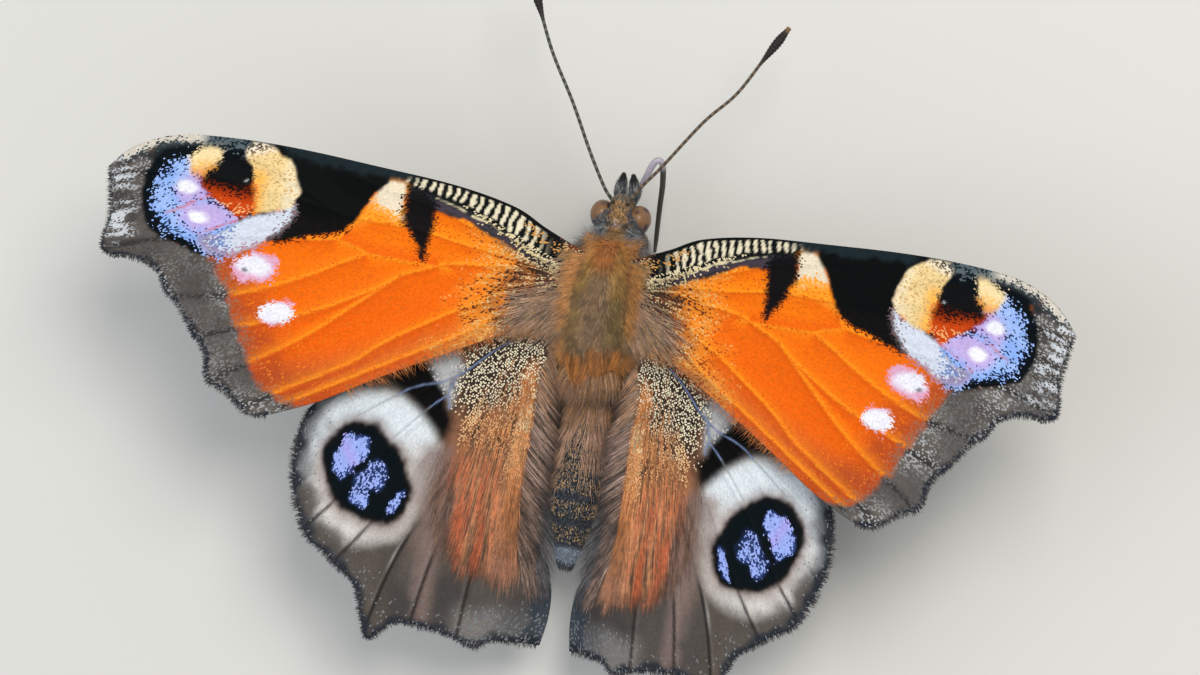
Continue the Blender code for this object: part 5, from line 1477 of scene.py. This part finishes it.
lenses = eye_lenses()
for side, word in ((-1, "left"), (1, "right")):
    tilt = np.linspace(0, np.pi, 50)[1:-1, None]
    around = np.linspace(0, 2 * np.pi, 65)[None, :-1]
    ball = np.stack([np.sin(tilt) * np.cos(around), np.cos(tilt) + 0 * around, np.sin(tilt) * np.sin(around)], -1)
    centre = np.array(EYE_CENTRE) * (side, 1, 1)
    radii = np.array(EYE_RADII) * 0.96
    points, faces, spread = shell(centre + ball[:, ::-1] * radii, centre + radii * (0, 1, 0),
                                  centre - radii * (0, 1, 0))
    make_piece("eye_" + word, points, faces, lenses, {}, {"OFBake": spread}, ("eye_" + word,))

    rng = np.random.default_rng(200 + side)
    count = 6000
    normal = rng.normal(0, 1, (count, 3))
    normal /= np.linalg.norm(normal, axis=1, keepdims=True)
    lid = 0.69 * normal[:, 0] + 0.725 * normal[:, 1] - 0.02
    covered = (lid < 0) & (normal[:, 2] > -0.3) | (normal[:, 0] < -0.75)
    normal, lid = normal[covered][:1700], lid[covered][:1700]
    count = len(lid)
    local = normal * (side, 1, 1)
    root = centre + local * radii * 0.98
    out = local / radii
    out /= np.linalg.norm(out, axis=1, keepdims=True)
    flow = np.tile((side * 0.75, -0.75, 0.0), (count, 1)) + 0.3 * rng.normal(0, 1, (count, 3))
    rim = (lid > -0.07) & (normal[:, 2] > 0)
    flow[rim] = np.array((side * 0.72, -0.69, 0.0))
    flow -= out * (flow * out).sum(1, keepdims=True)
    flow /= np.linalg.norm(flow, axis=1, keepdims=True)
    base = np.tile(linear("5A626A"), (count, 1))
    pick_colour(rng, base, "2C3036", 0.45)
    pick_colour(rng, base, "A4ABB0", 0.12)
    base[rim] = linear("D8D2CC")
    rise = np.where(rim, 0.05, rng.uniform(0.15, 0.35, count))
    lay_coat("eye_rim_" + word, root, flow, out, (np.where(rim, 0.14, rng.uniform(0.16, 0.3, count)),
             rng.uniform(0.014, 0.022, count), rise, -0.8 * rise), shades(rng, base, 0.8, 1.25, 0.3),
             np.stack([np.arctan2(normal[:, 2], normal[:, 1]) / (2 * np.pi) % 1, 0.5 + 0.5 * normal[:, 0]], 1))

# Palps
# Two short three-jointed feelers below the brow, held up and forward together. Grey hair with white tips
# clothes the base and close black scales the pointed end.
PALP_ROUTE = [(0.4, -0.1, 4.95), (0.44, 0.7, 4.95), (0.39, 1.3, 5.1), (0.31, 1.92, 5.4)]


def tube(route, radii, around=16, flatten=1.0):
    """A round profile carried along a route: rings square to it, in a frame kept by the route's own plane."""
    run = np.gradient(route, axis=0)
    run /= np.linalg.norm(run, axis=1, keepdims=True)
    plane = np.linalg.svd(route - route.mean(0))[2][2]
    across = np.cross(run, plane)
    across /= np.linalg.norm(across, axis=1, keepdims=True)
    up = np.cross(across, run)
    turn = np.linspace(0, 2 * np.pi, around + 1)[:-1]
    rings = (route[1:-1, None] + radii[1:-1, None, None] * (
        np.cos(turn)[None, :, None] * across[1:-1, None] + flatten * np.sin(turn)[None, :, None] * up[1:-1, None]))
    return rings, route[0], route[-1]


def on_tube(route, radii, along, turn):
    """Point, normal and forward direction on the side of such a tube."""
    run = np.gradient(route, axis=0)
    run /= np.linalg.norm(run, axis=1, keepdims=True)
    plane = np.linalg.svd(route - route.mean(0))[2][2]
    across = np.cross(run, plane)
    across /= np.linalg.norm(across, axis=1, keepdims=True)
    up = np.cross(across, run)
    at = along * (len(route) - 1)
    low = np.minimum(at.astype(int), len(route) - 2)
    part = (at - low)[:, None]
    point, across, up, run, radius = (a[low] * (1 - part) + a[low + 1] * part
                                      for a in (route, across, up, run, radii[:, None]))
    out = np.cos(turn)[:, None] * across + np.sin(turn)[:, None] * up
    out /= np.linalg.norm(out, axis=1, keepdims=True)
    return point + out * radius, out, run


def chitin(name, rough, code_low, code_high, scale):
    """Bare chitin of a limb: horny, satin, clouded between two tones, finely pitted."""
    material, tree = new_material(name)
    place = add_node(tree, "TexCoord", {}, {})
    cloud = add_node(tree, "TexNoise", {}, {"Vector": place.outputs["Object"], "Scale": scale, "Detail": 3.0})
    tone = add_node(tree, "Mix", {"data_type": "RGBA"},
                    {0: cloud.outputs[0], 6: (*linear(code_low), 1), 7: (*linear(code_high), 1)})
    bump = add_node(tree, "Bump", {}, {"Height": cloud.outputs[0], "Strength": 0.25, "Distance": 0.00003})
    shader = add_node(tree, "BsdfPrincipled", {}, {"Base Color": tone.outputs[2], "Roughness": rough,
                                                   "Specular IOR Level": 0.4, "Normal": bump.outputs[0]})
    add_node(tree, "OutputMaterial", {}, {"Surface": shader.outputs[0]})
    return material


def hair_on(name, seed, count, route, radii, sizes, colour_at, share=(0.0, 1.0), lift=0.35):
    """Clothe a tube in hairs that lie forward along it. Sizes are (length, half width) at root and end."""
    rng = np.random.default_rng(seed)
    along = rng.uniform(*share, count)
    turn = rng.uniform(0, 2 * np.pi, count)
    root, out, run = on_tube(route, radii, along, turn)
    flow = run + 0.18 * rng.normal(0, 1, (count, 3))
    flow -= 0.7 * out * (flow * out).sum(1, keepdims=True)
    flow /= np.linalg.norm(flow, axis=1, keepdims=True)
    length = np.interp(along, (0, 1), sizes[0]) * rng.uniform(0.7, 1.2, count)
    width = np.interp(along, (0, 1), sizes[1]) * rng.uniform(0.8, 1.2, count)
    rise = rng.uniform(0.5, 1.0, count) * lift
    base = colour_at(rng, along, turn)
    return lay_coat(name, root - 0.01 * out, flow, out, (length, width, rise, -0.6 * rise),
                    shades(rng, base, 0.6, 1.25, 0.3), np.stack([turn / (2 * np.pi), along], 1))


def palp_colours(rng, along, turn):
    """Slate, dark and silver hairs at the base, close black scales over the last third."""
    base = np.tile(linear("566068"), (len(along), 1))
    pick_colour(rng, base, "2A2D31", 0.35)
    pick_colour(rng, base, "D4D4D0", 0.18)
    base[along + 0.1 * rng.normal(0, 1, len(along)) > 0.54] = linear("15181A")
    return base


palp_horn = chitin("palp chitin, dull black", 0.5, "16171A", "2C2A2A", 4000.0)
for side, word in ((-1, "left"), (1, "right")):
    route = curve([(side * x, y, z) for x, y, z in PALP_ROUTE], 40)
    s = np.linspace(0, 1, 40)
    radii = np.interp(s, [0, 0.35, 0.7, 0.93, 1.0], [0.22, 0.25, 0.16, 0.09, 0.02])
    points, faces, spread = shell(*tube(route, radii))
    make_piece("palp_" + word, points, faces, palp_horn, {}, {"OFBake": spread}, ("palp_" + word,))
    hair_on("palp_hair_" + word, 210 + side, 2000, route, radii, ((1.0, 0.16), (0.016, 0.018)), palp_colours,
            (0.0, 0.97), 0.5)

# Antennae
# Thin jointed stalks of dark chitin with a ring of pale scales at the foot of each joint, and a flattened club
# at the end, black with a buff tip. Each stands in a socket on the crown.
LEFT_ANTENNA = [(-0.4, 0.0, 6.3), (-0.6, 0.35, 6.75), (-1.1, 1.0, 7.0), (-2.3, 3.0, 7.15), (-3.9, 5.9, 7.2),
                (-5.7, 8.75, 7.1), (-7.0, 11.35, 6.9), (-7.9, 13.3, 6.75)]
RIGHT_ANTENNA = [(0.4, 0.0, 6.3), (0.65, 0.45, 6.75), (1.25, 1.35, 7.0), (2.4, 2.85, 7.15), (4.55, 6.0, 7.2),
                 (6.3, 8.05, 7.1), (7.6, 10.4, 6.9), (8.9, 12.7, 6.75)]
JOINTS = 34                    # joints of an antenna, a little over 0.4 mm each


def antenna_material():
    """Antenna chitin: dull and dark, each joint ringed with pale scales at its foot; the club's tip is buff."""
    material, tree = new_material("antenna, ringed chitin")
    ground = add_node(tree, "Attribute", {"attribute_name": "ground"}, {})
    place = add_node(tree, "TexCoord", {}, {})
    grain = add_node(tree, "TexNoise", {}, {"Vector": place.outputs["Object"], "Scale": 9000.0, "Detail": 2.0})
    shade = add_node(tree, "MapRange", {}, {"Value": grain.outputs[0], "From Min": 0.3, "From Max": 0.7,
                                            "To Min": 0.6, "To Max": 1.35})
    varied = add_node(tree, "Mix", {"data_type": "RGBA", "blend_type": "MULTIPLY"},
                      {0: 1.0, 6: ground.outputs["Color"], 7: shade.outputs[0]})
    bump = add_node(tree, "Bump", {}, {"Height": grain.outputs[0], "Strength": 0.5, "Distance": 0.00003})
    shader = add_node(tree, "BsdfPrincipled", {}, {"Base Color": varied.outputs[2], "Roughness": 0.5,
                                                   "Specular IOR Level": 0.35, "Normal": bump.outputs[0]})
    add_node(tree, "OutputMaterial", {}, {"Surface": shader.outputs[0]})
    return material


stalk = antenna_material()
for word, ends, dark, pale in (("left", LEFT_ANTENNA, "34352F", "8E8C7C"), ("right", RIGHT_ANTENNA, "4A3F34", "A08C70")):
    count = 12 * JOINTS + 1
    route = curve(ends, count)
    s = np.linspace(0, 1, count)
    joint = (s * JOINTS) % 1
    radii = 0.125 + 0.022 * ease(1 - s / 0.06) + 0.225 * ease((s - 0.80) / 0.12) * (1 - ease((s - 0.93) / 0.07) * 0.75)
    radii *= 1 - 0.13 * np.cos(2 * np.pi * joint) ** 6
    radii[[0, -1]] = 0.02
    points, faces, spread = shell(*tube(route, radii, 14, 0.85))
    along = np.concatenate([np.repeat(s[1:-1], 14), [0, 1]])
    ground = np.ones((len(points), 4))
    ground[:, :3] = linear(dark)
    step = (along * JOINTS) % 1
    lay(ground, pale, 0.5 * edge(0.16 - np.abs(step - 0.2), 0.2) * (1 - ease((along - 0.78) / 0.06)))
    lay(ground, "1C1A18", ease((along - 0.8) / 0.05))
    lay(ground, "8A6A48", 0.85 * ease((along - 0.965) / 0.03))
    lay(ground, "5A4434", ease(1 - along / 0.04))
    make_piece("antenna_" + word, points, faces, stalk, {"ground": ground}, {"OFBake": spread},
               ("antenna_" + word,))

# Proboscis
# The sucking tongue, two half tubes zipped together. It leaves the face between the palps, rises over its knee
# and reaches down in front of the legs; translucent lilac grey at first and dark beyond the knee.
PROBOSCIS = [(0.0, 0.1, 4.4), (0.25, 0.75, 4.1), (0.75, 1.5, 4.25), (1.3, 2.7, 4.95), (1.66, 3.1, 5.15),
             (1.92, 2.85, 4.8), (1.95, 1.65, 4.0), (1.8, 0.05, 3.0), (1.62, -1.7, 1.75), (1.47, -2.9, 0.75)]


def tongue_material():
    """Soft ringed chitin: smooth, faintly see-through where it is pale, with a fine ring every tenth of a mm."""
    material, tree = new_material("proboscis, soft ringed chitin")
    ground = add_node(tree, "Attribute", {"attribute_name": "ground"}, {})
    lie = add_node(tree, "UVMap", {"uv_map": "OFBake"}, {})
    rings = add_node(tree, "TexWave", {"bands_direction": "Y"}, {"Vector": lie.outputs["UV"], "Scale": 28.0})
    bump = add_node(tree, "Bump", {}, {"Height": rings.outputs[0], "Strength": 0.35, "Distance": 0.00003})
    shader = add_node(tree, "BsdfPrincipled", {}, {"Base Color": ground.outputs["Color"], "Roughness": 0.4,
                                                   "Specular IOR Level": 0.45, "Normal": bump.outputs[0],
                                                   "Subsurface Weight": 0.2, "Subsurface Scale": 0.0003})
    add_node(tree, "OutputMaterial", {}, {"Surface": shader.outputs[0]})
    return material


route = curve(PROBOSCIS, 240)
s = np.linspace(0, 1, 240)
radii = np.interp(s, [0, 0.3, 0.36, 0.9, 1.0], [0.2, 0.215, 0.2, 0.15, 0.1])
radii[[0, -1]] = 0.02
points, faces, spread = shell(*tube(route, radii, 20, 0.9))
groove = np.abs(np.sin(np.linspace(0, 2 * np.pi, 21)[:-1]))
along = np.concatenate([np.repeat(s[1:-1], 20), [0, 1]])
ground = np.ones((len(points), 4))
ground[:, :3] = linear("B9B4C4")
lay(ground, "4A4540", ease((along - 0.37) / 0.06))
lay(ground, "3A3432", 0.7 * edge(0.12 - np.concatenate([np.tile(groove, 238), [1, 1]]), 0.1))
make_piece("proboscis", points, faces, tongue_material(), {"ground": ground}, {"OFBake": spread},
           ("proboscis",))

# Legs
# Four walking legs of brown chitin, furred to the knee and spined below it, each ending in five foot joints and
# two claws. The front pair is shrunk to furry brushes that are held against the chest.
MIDLEG = [(1.0, -5.4, 4.6), (1.7, -5.2, 3.0), (5.2, -4.4, 4.9), (6.9, -3.9, 0.2), (9.3, -2.4, 0.2)]
HINDLEG = [(1.0, -8.4, 4.6), (1.7, -8.9, 3.0), (4.7, -11.0, 4.9), (6.3, -14.4, 0.2), (7.6, -17.1, 0.2)]
FORELEG = [(0.8, -3.9, 4.4), (1.1, -3.4, 3.1), (1.2, -2.4, 3.1), (0.95, -1.7, 3.6)]
LEG_RADII = [(0.0, 0.34), (0.17, 0.3), (0.2, 0.28), (0.44, 0.24), (0.47, 0.2), (0.72, 0.16), (0.76, 0.13),
             (0.99, 0.1), (1.0, 0.02)]


def leg_route(joints, side, count):
    """Straight limbs with rounded knees: the joints' broken line, drawn through points close to each corner."""
    p = np.array(joints) * (side, 1, 1)
    near = [p[0]]
    for a, b, c in zip(p[:-2], p[1:-1], p[2:]):
        to_a, to_c = (a - b) / np.linalg.norm(a - b), (c - b) / np.linalg.norm(c - b)
        near += [b + 0.35 * to_a, b + 0.06 * (to_a + to_c), b + 0.35 * to_c]
    return curve(near + [p[-1]], count)


def leg_colours(rng, along, turn):
    """Grey-brown fur on the thigh, sparse buff scales on the shin and foot."""
    base = np.tile(linear("5E5248"), (len(along), 1))
    pick_colour(rng, base, "8E7A64", 0.3)
    low = along > 0.46
    base[low] = linear("8A6E50")
    base[low & (rng.random(len(along)) < 0.4)] = linear("2E2620")
    return base


def brush_colours(rng, along, turn):
    """Dark grey-brown brush hair, a few pale."""
    base = np.tile(linear("4A4038"), (len(along), 1))
    pick_colour(rng, base, "8A7868", 0.25)
    return base


leg_horn = chitin("leg chitin, brown horn", 0.42, "3A2A1E", "6E5238", 2500.0)
for side, word in ((-1, "left"), (1, "right")):
    for kind, joints in (("midleg", MIDLEG), ("hindleg", HINDLEG)):
        name = kind + "_" + word
        route = leg_route(joints, side, 220)
        s = np.linspace(0, 1, 220)
        radii = np.interp(s, *np.array(LEG_RADII).T)
        foot = ease((s - 0.76) / 0.01)
        radii *= 1 + 0.28 * foot * np.abs(np.sin(np.pi * 5 * (s - 0.76) / 0.24)) ** 3 - 0.1 * foot
        points, faces, spread = shell(*tube(route, radii, 14))
        make_piece(name, points, faces, leg_horn, {}, {"OFBake": spread}, (name,))
        hair_on(name + "_fur", 230 + side, 1100, route, radii, ((0.55, 0.12), (0.024, 0.014)), leg_colours,
                (0.02, 0.46), 0.5)
        hair_on(name + "_scales", 240 + side, 800, route, radii, ((0.2, 0.12), (0.018, 0.012)), leg_colours,
                (0.44, 0.985), 0.4)
        rng = np.random.default_rng(250 + side)
        along = np.append(np.repeat(np.linspace(0.48, 0.97, 30), 2), [0.985, 0.99])
        turn = np.append(np.tile([1.0, 2.2], 30), [1.2, 2.0]) + rng.normal(0, 0.15, 62)
        root, out, run = on_tube(route, radii, along, turn)
        flow = run + 0.5 * out
        flow /= np.linalg.norm(flow, axis=1, keepdims=True)
        length = np.append(rng.uniform(0.22, 0.34, 60), [0.36, 0.36])
        dark = np.tile(linear("1E1814"), (62, 1))
        lay_coat(name + "_spines", root, flow, out, (length, np.full(62, 0.022), np.full(62, 0.2),
                 np.full(62, -0.35)), (dark, dark), np.stack([turn / (2 * np.pi) % 1, along], 1), steps=4)
    name = "foreleg_" + word
    route = curve([(side * x, y, z) for x, y, z in FORELEG], 60)
    radii = np.interp(np.linspace(0, 1, 60), [0, 0.4, 0.97, 1], [0.22, 0.2, 0.12, 0.02])
    points, faces, spread = shell(*tube(route, radii, 12))
    make_piece(name, points, faces, leg_horn, {}, {"OFBake": spread}, (name,))
    hair_on(name + "_brush", 260 + side, 1300, route, radii, ((0.4, 0.55), (0.026, 0.018)), brush_colours,
            (0.0, 0.96), 0.7)

# Studio
# A plain pale floor under soft light, and the camera above and a little to the animal's right, turned so that
# the body leans as in the photograph.
CAMERA_AIM = np.array([0.404, -8.3, 8.0])
CAMERA_AZIMUTH = np.radians(109.7)
CAMERA_ELEVATION = np.radians(77.1)
CAMERA_ROLL = np.radians(9.185)
CAMERA_REACH = 350.0
FRAME_WIDTH = 75.0             # width of the picture at the wings, in mm


def camera_axes(azimuth, elevation, roll):
    """Right, up and back of a camera that looks down at the aim, rolled about its own line of sight."""
    back = np.array([np.sin(azimuth) * np.cos(elevation), -np.cos(azimuth) * np.cos(elevation), np.sin(elevation)])
    right = np.cross((0, 1, 0), back)
    right /= np.linalg.norm(right)
    up = np.cross(back, right)
    return np.cos(roll) * right + np.sin(roll) * up, np.cos(roll) * up - np.sin(roll) * right, back


def add_light(name, place, size, power, colour):
    """A square area light that faces the middle of the wings."""
    lamp = bpy.data.lights.new(name, "AREA")
    lamp.size = size
    lamp.energy = power
    lamp.color = linear(colour)
    lit = bpy.data.objects.new(name, lamp)
    place = np.array(place)
    back = place / np.linalg.norm(place)
    right = np.cross((0, 1, 0), back)
    right /= np.linalg.norm(right)
    lit.matrix_world = Matrix.LocRotScale(
        place, Matrix(np.stack([right, np.cross(back, right), back], 1)).to_quaternion(), None)
    bpy.context.collection.objects.link(lit)


right, up, back = camera_axes(CAMERA_AZIMUTH, CAMERA_ELEVATION, CAMERA_ROLL)
lens = bpy.data.cameras.new("camera")
lens.sensor_width = 36.0
lens.lens = lens.sensor_width * CAMERA_REACH / FRAME_WIDTH
lens.clip_start = 0.01
camera = bpy.data.objects.new("camera", lens)
place = (CAMERA_AIM + (0, HEAD_TO_ORIGIN, 0) + CAMERA_REACH * back) * MM
camera.matrix_world = Matrix.LocRotScale(place, Matrix(np.stack([right, up, back], 1)).to_quaternion(), None)
bpy.context.collection.objects.link(camera)
bpy.context.scene.camera = camera

add_light("key_light", (0.16, 0.22, 0.42), 0.22, 1.5, "FFF8EE")
add_light("fill_light", (-0.34, -0.08, 0.36), 0.4, 0.58, "F0F5FF")
world = bpy.data.worlds.new("soft_room")
world.use_nodes = True
world.node_tree.nodes["Background"].inputs["Color"].default_value = (*linear("F2F5F8"), 1)
world.node_tree.nodes["Background"].inputs["Strength"].default_value = 0.55
bpy.context.scene.world = world
bpy.context.scene.view_settings.view_transform = "Standard"

card, tree = new_material("floor, matt painted board")
painted = add_node(tree, "BsdfPrincipled", {}, {"Base Color": (*linear("DCDCD8"), 1), "Roughness": 0.85})
add_node(tree, "OutputMaterial", {}, {"Surface": painted.outputs[0]})
FLOOR_HALF = 1500.0
FLOOR_DEPTH = 5.0
corners = np.array([(x, y, z) for z in (-FLOOR_DEPTH, 0) for y in (-1, 1) for x in (-1, 1)], float)
corners[:, :2] *= FLOOR_HALF
faces = np.array([(0, 2, 3, 1), (4, 5, 7, 6), (0, 1, 5, 4), (2, 6, 7, 3), (0, 4, 6, 2), (1, 3, 7, 5)])
mesh = bpy.data.meshes.new("floor")
mesh.from_pydata((corners * MM).tolist(), [], faces.tolist())
mesh.materials.append(card)
floor = bpy.data.objects.new("floor", mesh)
bpy.context.collection.objects.link(floor)
